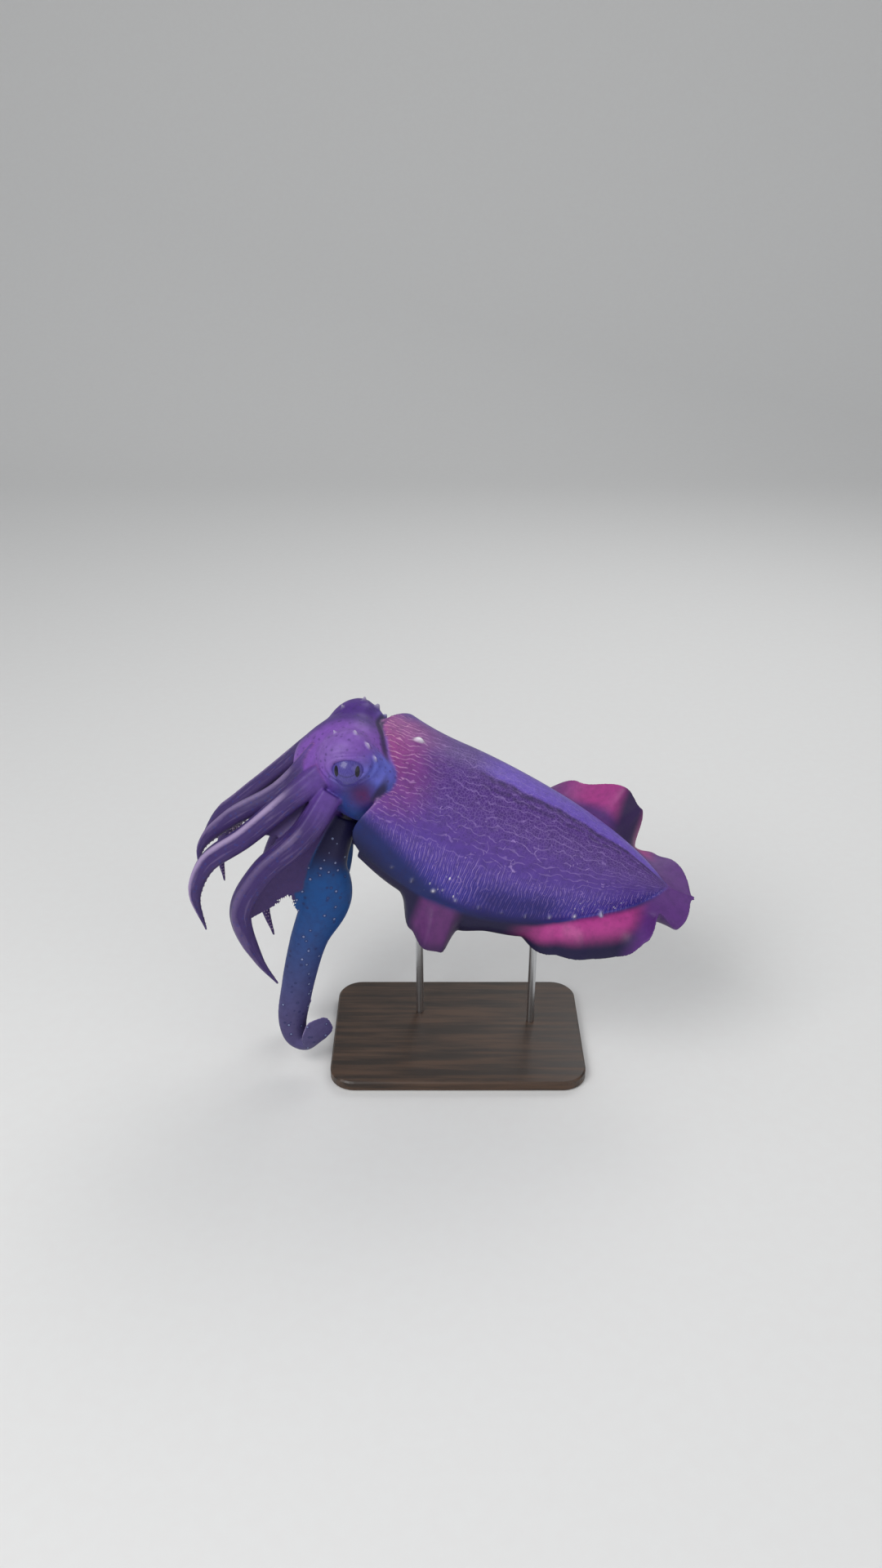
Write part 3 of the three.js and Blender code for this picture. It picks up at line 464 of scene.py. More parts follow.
ARMS = {
    "left_1": {"path": [(-138, -12, 142), (-188, -20, 92), (-250, -24, 56), (-287, -26, 20),
                        (-294, -24, -14)],
               "oral": (0.3, 0.35, -0.85), "wide": 16, "thick": 14, "hold": 0.86},
    "left_2": {"path": [(-134, -34, 124), (-175, -44, 92), (-228, -56, 50), (-275, -60, 16), (-293, -60, -28),
                        (-286, -54, -82)],
               "oral": (0.35, 0.5, -0.75), "wide": 17, "thick": 14, "hold": 0.88},
    "left_3": {"path": [(-128, -42, 100), (-160, -64, 56), (-210, -82, 14), (-236, -86, -36),
                        (-220, -82, -106), (-200, -76, -146)],
               "oral": (0.35, 0.75, -0.5), "wide": 17, "thick": 15, "hold": 0.9},
    "left_4": {"path": [(-116, -16, 56), (-141, -31, -6), (-140, -35, -50), (-164, -36, -109),
                        (-182, -36, -180), (-191, -35, -238), (-186, -37, -263), (-175, -42, -267),
                        (-163, -46, -250), (-147, -46, -221)],
               "oral": (-0.3, 0.9, 0.0), "wide": 32, "thick": 16},
    "right_1": {"path": [(-138, 20, 142), (-178, 33, 104), (-246, 38, 47), (-280, 40, 22), (-304, 40, -10)],
                "oral": (0.3, -0.35, -0.85), "wide": 16, "thick": 14, "hold": 0.86},
    "right_2": {"path": [(-132, 42, 124), (-172, 56, 84), (-222, 66, 38), (-262, 70, 2), (-284, 68, -40),
                         (-282, 62, -84)],
                "oral": (0.35, -0.5, -0.75), "wide": 17, "thick": 14, "hold": 0.88},
    "right_3": {"path": [(-128, 48, 100), (-160, 64, 50), (-196, 72, -4), (-222, 70, -62), (-232, 62, -118),
                         (-222, 56, -164)],
                "oral": (0.35, -0.75, -0.5), "wide": 17, "thick": 15, "hold": 0.9},
    "right_4": {"path": [(-116, 26, 56), (-137, 36, -8), (-146, 40, -58), (-166, 41, -118), (-182, 41, -180),
                         (-192, 41, -232), (-191, 43, -274)],
                "oral": (-0.3, -0.9, 0.0), "wide": 30, "thick": 16},
}
# a ventral arm's half width and half thickness along it, as shares: broad, pinched at the bend
# near its end and spread again into a flat flap
VENTRAL_SHAPE = [(0, 0.60, 1.0), (0.12, 0.80, 1.0), (0.22, 1.0, 1.0), (0.32, 0.97, 0.95),
                 (0.42, 0.79, 0.85), (0.60, 0.67, 0.7), (0.74, 0.60, 0.58), (0.81, 0.48, 0.48),
                 (0.862, 0.31, 0.36), (0.92, 0.53, 0.22), (0.965, 0.56, 0.15), (1.0, 0.10, 0.06)]
ARM_KEEL = 0.27
# how strong the painted highlight down the keel on the outside of each pair of arms is
RIDGE_HIGHLIGHT = {"1": 0.5, "2": 1.0, "3": 0.22, "4": 0.0}
ARM_STEPS = 200
ARM_SIDES = 44


def smooth_path(points, steps):
    """Even steps along a smooth curve through the points."""
    p = np.array(points, float)
    p = np.vstack([2 * p[0] - p[1], p, 2 * p[-1] - p[-2]])
    line = []
    for a, b, c, d in zip(p[:-3], p[1:-2], p[2:-1], p[3:]):
        gaps = [np.linalg.norm(q - r) ** 0.5 for q, r in ((b, a), (c, b), (d, c))]
        start = ((b - a) / gaps[0] - (c - a) / (gaps[0] + gaps[1]) + (c - b) / gaps[1]) * gaps[1]
        end = ((c - b) / gaps[1] - (d - b) / (gaps[1] + gaps[2]) + (d - c) / gaps[2]) * gaps[1]
        for t in np.linspace(0, 1, 60, endpoint=False):
            line.append((2 * t ** 3 - 3 * t ** 2 + 1) * b + (t ** 3 - 2 * t ** 2 + t) * start
                        + (-2 * t ** 3 + 3 * t ** 2) * c + (t ** 3 - t ** 2) * end)
    line = np.array(line + [p[-2]])
    far = np.concatenate([[0], np.cumsum(np.linalg.norm(np.diff(line, axis=0), axis=1))])
    even = np.linspace(0, far[-1], steps)
    return np.stack([np.interp(even, far, line[:, k]) for k in range(3)], -1)


def softly(t, places, values):
    """Values between rows, with no corner at a row."""
    i = np.clip(np.searchsorted(places, t) - 1, 0, len(places) - 2)
    slopes = np.gradient(values, places)
    slopes[-1] = (values[-1] - values[-2]) / (places[-1] - places[-2]) * 1.4
    gap = places[i + 1] - places[i]
    u = (t - places[i]) / gap
    return ((2 * u ** 3 - 3 * u ** 2 + 1) * values[i] + (u ** 3 - 2 * u ** 2 + u) * gap * slopes[i]
            + (-2 * u ** 3 + 3 * u ** 2) * values[i + 1] + (u ** 3 - u ** 2) * gap * slopes[i + 1])


def arm_stations(arm):
    """Along an arm: its middle line, the way along, across and to the suckers, and its half sizes."""
    line = smooth_path(arm["path"], ARM_STEPS)
    along = np.gradient(line, axis=0)
    along /= np.linalg.norm(along, axis=1)[:, None]
    oral = np.array(arm["oral"]) - along * (along @ np.array(arm["oral"]))[:, None]
    oral /= np.linalg.norm(oral, axis=1)[:, None]
    across = np.cross(along, oral)
    t = np.linspace(0, 1, ARM_STEPS)
    if "hold" in arm:
        swell = 1 - (1 - arm["hold"]) * ease(t / 0.5)
        taper = np.where(t < 0.5, swell, arm["hold"] * (1 - ease((t - 0.5) / 0.62) * 0.98))
        wide = arm["wide"] * taper
        thick = arm["thick"] * np.sqrt(taper * swell) * np.minimum(1, 1.6 * taper + 0.12)
    else:
        row, width_row, thick_row = np.array(VENTRAL_SHAPE).T
        wide = arm["wide"] * softly(t, row, width_row)
        thick = arm["thick"] * softly(t, row, thick_row)
    return {"line": line, "along": along, "oral": oral, "across": across, "t": t,
            "wide": wide, "thick": thick}


for name, arm in ARMS.items():
    here = arm_stations(arm)
    arm["stations"] = here
    turn = np.arange(ARM_SIDES) * 2 * math.pi / ARM_SIDES
    toward = np.sin(turn)
    face = np.where(toward > 0, 0.55 * np.abs(toward) ** 0.7, -np.abs(toward) ** 1.15)
    width = np.cos(turn)
    keel = bell(turn, 1.5 * math.pi, 0.27) * (0.2 if name.endswith("4") else 1.0)
    rings = (here["line"][:, None]
             + here["across"][:, None] * (here["wide"][:, None] * width * (1 - 0.07 * keel))[..., None]
             + here["oral"][:, None] * (here["thick"][:, None] * (face - ARM_KEEL * keel))[..., None])
    points, faces = rings_to_mesh(rings)
    facts = {"reach": np.append(np.repeat(here["t"], ARM_SIDES), [0, 1]),
             "facing": np.append(np.tile(toward, ARM_STEPS), [0, 0]),
             "ridge": RIDGE_HIGHLIGHT[name[-1]]}
    add_flesh("ventral" if name.endswith("4") else "arm", points, faces, **facts)

# Web. Thin sheets of skin that join each arm to the next for the first part of their length,
# with a hollow free edge. Cast with the arms.

WEB_THICK = 3.6
WEB_SAG = 5.0
WEB_HOLLOW = 0.36
# the arms that each web joins, and how far along each of them it reaches
WEB_PAIRS = [("left_1", 0.36, "right_1", 0.36)]
for side in ("left", "right"):
    WEB_PAIRS += [(f"{side}_1", 0.38, f"{side}_2", 0.36), (f"{side}_2", 0.40, f"{side}_3", 0.40),
                  (f"{side}_3", 0.66, f"{side}_4", 0.40)]
WEB_ROWS = 80
WEB_ACROSS = 25

for first, first_reach, second, second_reach in WEB_PAIRS:
    across = np.linspace(0, 1, WEB_ACROSS)
    rings = []
    for share in np.linspace(0, 1, WEB_ROWS):
        hollow = share * (1 - WEB_HOLLOW * np.sin(math.pi * across))
        spots, ways = [], []
        for name, farthest in ((first, first_reach), (second, second_reach)):
            here = ARMS[name]["stations"]
            at = hollow * farthest * (ARM_STEPS - 1)
            low = np.floor(at).astype(int)
            part = (at - low)[:, None]
            spots.append(here["line"][low] * (1 - part) + here["line"][low + 1] * part)
            ways.append(here["oral"][low])
        inward = ways[0] + ways[1]
        inward /= np.linalg.norm(inward, axis=1)[:, None]
        middle = spots[0] * (1 - across[:, None]) + spots[1] * across[:, None]
        middle = middle + inward * (WEB_SAG * np.sin(math.pi * across) * min(1, share / 0.3))[:, None]
        half = inward * WEB_THICK / 2
        rings.append(np.concatenate([middle - half, (middle + half)[::-1]]))
    points, faces = rings_to_mesh(np.array(rings))
    reach = np.repeat(np.linspace(0, first_reach, WEB_ROWS), 2 * WEB_ACROSS)
    add_flesh("arm", points, faces, reach=np.append(reach, [0, first_reach]), facing=0.12)

# Funnel. The jet nozzle under the head, a thick-walled cone that comes out of the mantle's mouth
# below the neck and points forward. Cast with the head, its opening a shallow cup.

FUNNEL_PATH = [(-58, 24, 58), (-88, 20, 34), (-112, 16, 8)]
FUNNEL_RADII = (27, 25, 16)
FUNNEL_MOUTH = 10
# over the lip and back down inside the mouth: station and share of the mouth's radius
FUNNEL_LIP = [(59, 1.25), (58, 1.0), (50, 0.85), (42, 0.5)]
FUNNEL_STEPS = 60
FUNNEL_SIDES = 64

funnel_line = smooth_path(FUNNEL_PATH, FUNNEL_STEPS)
funnel_along = np.gradient(funnel_line, axis=0)
funnel_along /= np.linalg.norm(funnel_along, axis=1)[:, None]
funnel_side = np.array([0, 1.0, 0]) - funnel_along * funnel_along[:, 1:2]
funnel_side /= np.linalg.norm(funnel_side, axis=1)[:, None]
funnel_up = np.cross(funnel_along, funnel_side)
funnel_radius = np.interp(np.linspace(0, 1, FUNNEL_STEPS), (0, 0.5, 1), FUNNEL_RADII)
stations = list(enumerate(funnel_radius))
stations += [(station, FUNNEL_MOUTH * share) for station, share in FUNNEL_LIP]
turn = np.arange(FUNNEL_SIDES) * 2 * math.pi / FUNNEL_SIDES
rings = [funnel_line[i] + radius * (np.cos(turn)[:, None] * funnel_side[i]
                                    + np.sin(turn)[:, None] * funnel_up[i])
         for i, radius in stations]
add_flesh("funnel", *rings_to_mesh(np.array(rings)))

# Fins. A thin frill of muscle down each side of the mantle, thick at its root and drawn out to a
# soft edge, thrown into slow waves. Cast with the mantle, in one sheet a side.

FIN_BASE_THICK = 7.0
FIN_EDGE_THICK = 3.2
FIN_ROOT = 5.0
FIN_ENDS = (0.02, 0.998)
# from which share on the fins trail behind the tail, over how much, how far, and how they close
FIN_TAIL = {"from": 0.93, "over": 0.06, "turn": 0.85, "close": 0.22}
TAIL_WEB = {"long": 30.0, "half": 8.0, "thick": 2.2}
# share of the mantle's length, width, and the angle up from outward at the root and at the edge
FINS = {
    "left": [(0.02, 12, -60, -120), (0.20, 34, -60, -165), (0.285, 50, -45, -80), (0.34, 58, -22, -48),
             (0.385, 56, -24, -56), (0.43, 48, -50, -130), (0.52, 48, -55, -150), (0.62, 46, -50, -145),
             (0.70, 40, -10, -60), (0.77, 54, 30, -60), (0.84, 58, 30, -65), (0.89, 57, 0, 30),
             (0.925, 56, -25, 105), (0.96, 50, -10, 0), (0.992, 38, 0, 0)],
    "right": [(0.02, 12, -30, -50), (0.15, 36, -40, -70), (0.35, 56, -45, -75), (0.50, 60, -35, -60),
              (0.62, 62, 0, 5), (0.74, 74, 15, 40), (0.80, 68, 5, 20), (0.86, 44, 0, -60),
              (0.91, 34, -5, -12), (0.95, 44, -5, 0), (0.992, 38, 0, 0)],
}
FIN_STEPS = 420
FIN_ACROSS = 36


def fin_values(rows, s):
    """Width, root angle and edge angle at each share of the length, smooth between the rows."""
    table = np.array(rows, float)
    i = np.clip(np.searchsorted(table[:, 0], s) - 1, 0, len(table) - 2)
    t = ease((s - table[i, 0]) / (table[i + 1, 0] - table[i, 0]))
    return [table[i, k] + (table[i + 1, k] - table[i, k]) * t for k in (1, 2, 3)]


for name, rows in FINS.items():
    side = -1 if name == "left" else 1
    degrees = 180.0 if name == "left" else 0.0
    s = np.linspace(*FIN_ENDS, FIN_STEPS)
    width, start, end = fin_values(rows, s)
    width = width + FIN_ROOT
    base = mantle_point(s, degrees)
    along = mantle_point(np.minimum(s + 0.004, 0.997), degrees) - mantle_point(s - 0.004, degrees)
    along[:, 2] = 0
    along /= np.linalg.norm(along, axis=1)[:, None]
    outward = np.stack([-along[:, 1], along[:, 0], 0 * s], -1) * side
    turned = FIN_TAIL["turn"] * ease((s - FIN_TAIL["from"]) / FIN_TAIL["over"])[:, None]
    outward = outward * (1 - turned) + np.array([1.0, -FIN_TAIL["close"] * side, 0.0]) * turned
    outward /= np.linalg.norm(outward, axis=1)[:, None]
    up = np.array([0, 0, 1.0])
    spot = base - outward * FIN_ROOT
    upper, lower = [], []
    for j in range(FIN_ACROSS + 1):
        share = j / FIN_ACROSS
        angle = np.radians(start + (end - start) * share)[:, None]
        if j > 0:
            spot = spot + (outward * np.cos(angle) + up * np.sin(angle)) * (width / FIN_ACROSS)[:, None]
        normal = -outward * np.sin(angle) + up * np.cos(angle)
        thick = FIN_BASE_THICK + (FIN_EDGE_THICK - FIN_BASE_THICK) * share ** 0.6
        thick *= math.sqrt(max(0.0, 1 - max(0.0, (share - 0.96) / 0.06) ** 2)) if share > 0.96 else 1
        upper.append(spot + normal * thick / 2)
        lower.append(spot - normal * thick / 2)
    rings = np.stack(upper + lower[::-1], 1) @ mantle_turn.T + mantle_at
    points, faces = rings_to_mesh(rings)
    shares = np.linspace(0, 1, FIN_ACROSS + 1)
    spread = np.tile(np.concatenate([shares, shares[::-1]]), FIN_STEPS)
    over = np.tile(np.repeat([1.0, -1.0], FIN_ACROSS + 1), FIN_STEPS)
    facts = {"spread": np.append(spread, [0, 0]), "over": np.append(over, [0, 0])}
    add_flesh("fin", points, faces, **facts)

# the short web that joins the two fins behind the tip of the tail
turn = np.arange(32) * 2 * math.pi / 32
tail_tip = mantle_point(np.array(0.985), 180.0) * (1, 0, 1)
rings = []
for share in np.linspace(0.0, 1.0, 24):
    narrow = 1 - 0.5 * share
    middle = tail_tip + np.array([TAIL_WEB["long"] * share, 0, 0])
    rings.append(middle + np.stack([0 * turn, TAIL_WEB["half"] * narrow * np.cos(turn),
                                    TAIL_WEB["thick"] * np.sin(turn)], -1))
points, faces = rings_to_mesh(np.array(rings) @ mantle_turn.T + mantle_at)
add_flesh("fin", points, faces, spread=0.4, over=np.sign(points[:, 2] - points[:, 2].mean()))

# Skin. One seamless skin over the mantle, head, arms, funnel and fins, as the cast comes out of
# its mould: the forms are run together, smoothed where they meet and then painted by hand.

SKIN_GRAIN = 1.15
RIM_POINTS = 1200
SKIN_NODES = ["mantle", "head", "funnel"]
SKIN_NODES += [f"fin_{side}_{part}" for side in ("left", "right") for part in ("front", "middle", "rear")]
SKIN_NODES += [f"arm_{side}_{k}_{part}" for side in ("left", "right") for k in (1, 2, 3, 4)
               for part in ("base", "middle", "tip")]

all_points, all_faces, start = [], [], 0
for form in flesh:
    all_points.append((form["points"] + ANIMAL_PLACE) / 1000.0)
    all_faces += [[corner + start for corner in face] for face in form["faces"]]
    start += len(form["points"])
all_points = np.concatenate(all_points)
skin = new_mesh("skin", all_points, all_faces)
remesh = skin.modifiers.new("run_together", "REMESH")
remesh.mode = "VOXEL"
remesh.voxel_size = SKIN_GRAIN / 1000.0
remesh.use_smooth_shade = True
bpy.context.view_layer.objects.active = skin
skin.select_set(True)
bpy.ops.object.modifier_apply(modifier="run_together")

count = len(skin.data.vertices)
place = np.zeros(count * 3)
skin.data.vertices.foreach_get("co", place)
place = place.reshape(-1, 3)
edges = np.zeros(len(skin.data.edges) * 2, int)
skin.data.edges.foreach_get("vertices", edges)
edges = edges.reshape(-1, 2)
neighbours = np.bincount(edges.ravel(), minlength=count)


def softened(values, share=0.5):
    """Each point's value, moved part of the way to the mean of its neighbours."""
    total = np.zeros_like(values)
    for k in range(values.shape[1]):
        total[:, k] = (np.bincount(edges[:, 0], values[edges[:, 1], k], count)
                       + np.bincount(edges[:, 1], values[edges[:, 0], k], count))
    return values + share * (total / np.maximum(neighbours, 1)[:, None] - values)


for _ in range(4):
    place = softened(place)

# what each point of the skin belongs to, from the nearest point of the forms
tree = KDTree(len(all_points))
for index, point in enumerate(all_points):
    tree.insert(point, index)
tree.balance()
nearest = np.array([tree.find(point)[1] for point in place])
kinds = np.concatenate([[form["kind"]] * len(form["points"]) for form in flesh])
facts = {}
for fact in ("reach", "facing", "ridge", "spread", "over", "tip"):
    known = [form["facts"].get(fact, np.zeros(len(form["points"]))) for form in flesh]
    facts[fact] = np.concatenate(known)[nearest]
share_of = {kind: (kinds[nearest] == kind).astype(float)
            for kind in ("mantle", "head", "arm", "ventral", "fin", "funnel")}

table = np.stack([*share_of.values(), *facts.values()], -1)
for _ in range(5):
    table = softened(table, 0.6)
for index, name in enumerate([*share_of, *facts]):
    (share_of if name in share_of else facts)[name] = table[:, index]

# the joins between the arms and the head, and along the fin roots, are rounded off further
crown = np.clip(share_of["arm"] + share_of["ventral"], 0, 1) * (1 - ease(facts["reach"] / 0.16))
root = share_of["fin"] * (1 - ease(facts["spread"] / 0.16))
loose = np.clip(crown + root, 0, 1)[:, None]
for _ in range(16):
    place = place + (softened(place) - place) * loose
skin.data.vertices.foreach_set("co", place.ravel())
skin.data.update()

inside = place * 1000.0 - ANIMAL_PLACE
on_mantle = (inside - mantle_at) @ mantle_turn
on_head = (inside - head_at) @ head_turn
s = np.clip(on_mantle[:, 0] / MANTLE["length"], 0.0, 0.995)
half, top, line, belly = mantle_shares(s)
raised = (on_mantle[:, 2] - line) / np.where(on_mantle[:, 2] > line, top - line, belly)
girth = np.degrees(np.arctan2(raised, np.abs(on_mantle[:, 1]) / np.maximum(half, 1)))
from_front = on_mantle[:, 0] - mantle_margin(s, 90 - np.abs(90 - np.abs(girth)))
cheek_side = np.abs(on_head[:, 1])
rim_angles = np.linspace(0, 360, RIM_POINTS, endpoint=False)
rim_line = mantle_point(np.zeros(RIM_POINTS), rim_angles) @ mantle_turn.T + mantle_at
rim_tree = KDTree(RIM_POINTS)
for index, point in enumerate(rim_line):
    rim_tree.insert(point, index)
rim_tree.balance()
marks = {
    "from_margin": np.array([rim_tree.find(point)[2] for point in inside]),
    "length": np.clip(from_front / MANTLE["length"], -0.1, 1),
    "girth": girth,
    "near_side": (on_mantle[:, 1] < 0).astype(float),
    "cheek": ease((cheek_side - 20) / 24) * bell(on_head[:, 2], -46, 38) * bell(on_head[:, 0], -4, 42),
    "blush": ease((cheek_side - 30) / 20) * bell(on_head[:, 2], -32, 21) * bell(on_head[:, 0], -1, 20),
    "brow": ease((cheek_side - 26) / 14) * bell(on_head[:, 2], 28, 13) * bell(on_head[:, 0], 0, 22),
    "eye_ring": ease((cheek_side - 40) / 12) * bell(np.hypot(on_head[:, 0] - EYE_AT[0],
                                                          1.5 * (on_head[:, 2] - EYE_AT[2])), 16, 9),
    # painted highlight on the cheek, below and behind the eye
    "cheek_light": ease((cheek_side - 22) / 16) * bell(on_head[:, 2], -20, 19) * bell(on_head[:, 0], 27, 17),
    # painted shade over the far, upper side of the head
    "crown": ease((on_head[:, 1] + 16) / 26) * ease((on_head[:, 2] + 10) / 30),
}
for name, values in {**{"on_" + k: v for k, v in share_of.items()}, **facts, **marks}.items():
    attribute = skin.data.attributes.new(name, "FLOAT", "POINT")
    attribute.data.foreach_set("value", np.asarray(values, np.float32))

# The paint. Colours are sprayed soft over the cast, then the fine pale lines, dashes and dark
# specks of the living skin are drawn over them, under a thin satin varnish.

MANTLE_FRONT = (0.33, 0.060, 0.26)
MANTLE_BACK = (0.078, 0.028, 0.205)
MANTLE_FLANK = (0.105, 0.050, 0.30)
MANTLE_LOWER = (0.040, 0.030, 0.31)
MANTLE_LOW_SHADE = (0.016, 0.013, 0.15)
MANTLE_FOOT_SHADE = (0.008, 0.007, 0.075)
FRONT_LOW_SHADE = (0.012, 0.021, 0.125)
FRONT_CORNER_SHADE = (0.004, 0.006, 0.046)
FAR_BAND = (0.145, 0.078, 0.52)
CREASE_SHADE = (0.018, 0.010, 0.050)
BELLY_SHADE = (0.014, 0.012, 0.065)
PALE_LINE = (0.40, 0.27, 0.64)
PINK_LINE = (0.75, 0.33, 0.52)
WHITE_TIP = (0.85, 0.83, 0.88)
HEAD_TOP = (0.215, 0.082, 0.44)
HEAD_FAR_SHADE = (0.055, 0.018, 0.185)
CHEEK_BLUE = (0.006, 0.052, 0.28)
CHEEK_HIGHLIGHT = (0.120, 0.135, 0.58)
BLUSH = (0.085, 0.013, 0.105)
BROW_HIGHLIGHT = (0.25, 0.135, 0.47)
ARM_OUTER = (0.050, 0.026, 0.135)
ARM_PALE = (0.50, 0.38, 0.62)
ARM_ROOT = (0.120, 0.055, 0.290)
ARM_SHADE = (0.060, 0.032, 0.140)
ARM_BLUE = (0.030, 0.045, 0.25)
VENTRAL_TOP = (0.005, 0.070, 0.26)
VENTRAL_LOW = (0.078, 0.064, 0.18)
FLAP_EDGE = (0.34, 0.27, 0.50)
FIN_PINK = (0.46, 0.050, 0.26)
FIN_FRONT = (0.120, 0.028, 0.145)
FIN_PURPLE = (0.110, 0.032, 0.20)
FIN_NEAR_SHADE = (0.009, 0.006, 0.042)
FIN_UNDER_SHADE = (0.030, 0.012, 0.070)
FUNNEL_SHADE = (0.022, 0.018, 0.085)
SPECK = (0.022, 0.010, 0.055)
MARGIN_PALE = (0.42, 0.24, 0.52)
EYE_RING = (0.12, 0.13, 0.42)
HEAD_SPOT = (0.045, 0.02, 0.13)
VENTRAL_SPOT = (0.015, 0.02, 0.10)
VENTRAL_DOT = (0.30, 0.36, 0.60)
MOTTLE_DARK = (0.02, 0.012, 0.06)
# millimetres of skin to a degree round the body, so that the marks keep their shape
GIRTH_SCALE = 1.55


def stripes(count, low, high):
    """Thin lines, one half way between each whole number of the count and the next."""
    return 1 - (count.math("FRACT", count) - 0.5).size().step(low, high)


def cells(place, scale):
    """The distance to the nearest of many scattered points."""
    return place.node("TexVoronoi", None, {"Vector": place, "Scale": scale})


def window(wire, opens, closes):
    """1 between two soft edges, each given by where it starts and ends."""
    return wire.step(*opens) * (1 - wire.step(*closes))


paint, wire, shader = new_material("painted_skin")
along_mm = wire.value("length") * MANTLE["length"]
girth_mm = wire.value("girth") * GIRTH_SCALE
body_place = wire.vector(along_mm, girth_mm, wire.value("near_side") * 60.0)
room_place = wire.node("TexCoord", output=3)
fine = wire.noise(room_place, 420.0, 3.0, 0.6)
cloud = wire.noise(room_place, 26.0, 2.0)
mottle = wire.noise(room_place, 120.0, 3.0, 0.6)

# the mantle's ground colours, with painted shade low down, underneath and in the front corner
length = wire.value("length")
girth = wire.value("girth")
near = wire.value("near_side")
front = (1 - length.step(-0.01, 0.25)) * girth.step(32.0, 70.0)
low = 1 - girth.step(6.0, 50.0)
under = 1 - girth.step(-12.0, -3.0)
ground = wire.blend(girth.step(38.0, 78.0), MANTLE_FLANK, MANTLE_BACK)
ground = wire.blend(low, ground, MANTLE_LOWER)
ground = wire.blend(front * (1 - low) * (0.45 + 0.55 * cloud.step(0.3, 0.6)), ground, MANTLE_FRONT)
# painted shade along the low middle of the flank, between the fin lobes, with the pale lines faded in it
shade_low_middle = (1 - girth.step(14.0, 34.0)) * window(length, (0.34, 0.50), (0.62, 0.76))
ground = wire.blend(shade_low_middle * 0.95, ground, MANTLE_LOW_SHADE)
# painted shade at the foot of the flank, along the fin root
ground = wire.blend(1 - girth.step(-4.0, 9.0), ground, MANTLE_FOOT_SHADE)
# painted shade in the mantle's front lower corner, where it curves under; the pale lines and the pale rim are
# left off there
corner = 36.0 - length * 88.0 - girth
ground = wire.blend(corner.step(-10.0, 8.0), ground, FRONT_LOW_SHADE)
ground = wire.blend(corner.step(8.0, 30.0), ground, FRONT_CORNER_SHADE)
clear_of_corner_shade = 1 - corner.step(-12.0, 6.0)
# the underside painted dark as shade
ground = wire.blend(under, ground, BELLY_SHADE)

# painted shade down a fold of the back, a dark line with a fainter second line beside it, and the smooth band
# beyond it
beyond = (90 - girth) * (1 - near) - (90 - girth) * near
wander = (wire.noise(wire.vector(along_mm * 0.02, 0.0), 1.0, 1.0) - 0.5) * 9.0
crease_here = window(length, (0.26, 0.40), (0.93, 0.99))
offset = beyond + wander - 2.0
crease_shade = (1 - offset.size().step(0.5, 3.6)) * crease_here * (0.45 + 0.55 * mottle.step(0.4, 0.6))
second_fold = 0.6 * (1 - (offset + 7.0).size().step(0.6, 2.6))
crease_shade = crease_shade + second_fold * crease_here * mottle.step(0.35, 0.5)
band = window(offset, (0.0, 5.0), (22.0, 42.0)) * crease_here
ground = wire.blend(band * 0.85, ground, FAR_BAND)

# the pale lines: dashes along the front, wavy down the flanks, and combed to the fin's root
sway = wire.noise(body_place, 0.045, 2.0) * 3.0
comb_edge = wire.noise(wire.vector(along_mm * 0.12, 0.0), 1.0, 1.0) * 26.0
comb = 1 - (girth - comb_edge).step(16.0, 30.0)
breaks = wire.noise(wire.vector(along_mm * 0.04, girth_mm * 0.22), 1.0, 1.0).step(0.40, 0.50)
waves = stripes(girth_mm * 0.115 + sway, 0.045, 0.10) * breaks
front_breaks = wire.noise(wire.vector(along_mm * 0.09, girth_mm * 0.30), 1.0, 1.0).step(0.42, 0.52)
front_waves = stripes(girth_mm * 0.19 + sway * 1.3, 0.06, 0.15) * front_breaks
comb_breaks = wire.noise(wire.vector(along_mm * 0.5, girth_mm * 0.11), 1.0, 2.0).step(0.40, 0.56)
teeth = stripes(along_mm * 0.205 + sway * 0.8 + girth_mm * 0.012, 0.05, 0.15) * comb_breaks
fine_teeth = stripes(along_mm * 0.43 + sway * 0.8, 0.08, 0.25) * 0.4
at_front = (1 - length.step(0.10, 0.30)) * (1 - comb)
dashes = waves * (1 - comb) * (1 - at_front) + front_waves * at_front
combs = (teeth + fine_teeth) * comb * girth.step(2.0, 9.0)
worms = 1 - (wire.noise(body_place, 0.055, 1.0) - 0.5).size().step(0.004, 0.013)
worms = worms * wire.noise(body_place, 0.16, 1.0).step(0.56, 0.62)
worms = worms * window(girth, (14.0, 24.0), (60.0, 80.0))
smooth_band = 1 - band * 0.2
lines = (dashes * (0.42 + 0.58 * front) + combs * 0.75 + worms * 0.8) * (1 - under) * smooth_band
lines = lines * clear_of_corner_shade * (1 - shade_low_middle * 0.7)
net = wire.node("TexVoronoi", {"feature": "DISTANCE_TO_EDGE"}, {"Vector": body_place, "Scale": 0.30}, 0)
netting = (1 - net.step(0.02, 0.12)) * girth.step(40.0, 70.0) * (1 - at_front) * smooth_band
specks = (1 - cells(body_place, 0.42).step(0.12, 0.30)) * mottle.step(0.40, 0.58) * (1 - under) * smooth_band
line_colour = wire.blend(front, PALE_LINE, PINK_LINE)
mantle_colour = wire.blend(specks * 0.5, ground, SPECK)
mantle_colour = wire.blend(netting * 0.22, mantle_colour, PALE_LINE)
mantle_colour = wire.blend(lines * 0.75, mantle_colour, line_colour)
mantle_colour = wire.blend(crease_shade * 0.6, mantle_colour, CREASE_SHADE)
fleck_zone = window(length, (0.27, 0.30), (0.36, 0.40)) + window(length, (0.72, 0.76), (0.85, 0.89))
fleck_zone = fleck_zone * window(girth, (3.0, 8.0), (20.0, 25.0))
fleck_cells = cells(wire.vector(along_mm, girth_mm * 0.55), 0.21)
flecks = (1 - fleck_cells.step(0.16, 0.24)) * fleck_zone * cloud.step(0.35, 0.5)
mantle_colour = wire.blend(flecks, mantle_colour, WHITE_TIP)
rim = 1 - wire.value("from_margin").step(0.8, 3.2)
mantle_colour = wire.blend(rim * 0.45 * clear_of_corner_shade, mantle_colour, MARGIN_PALE)
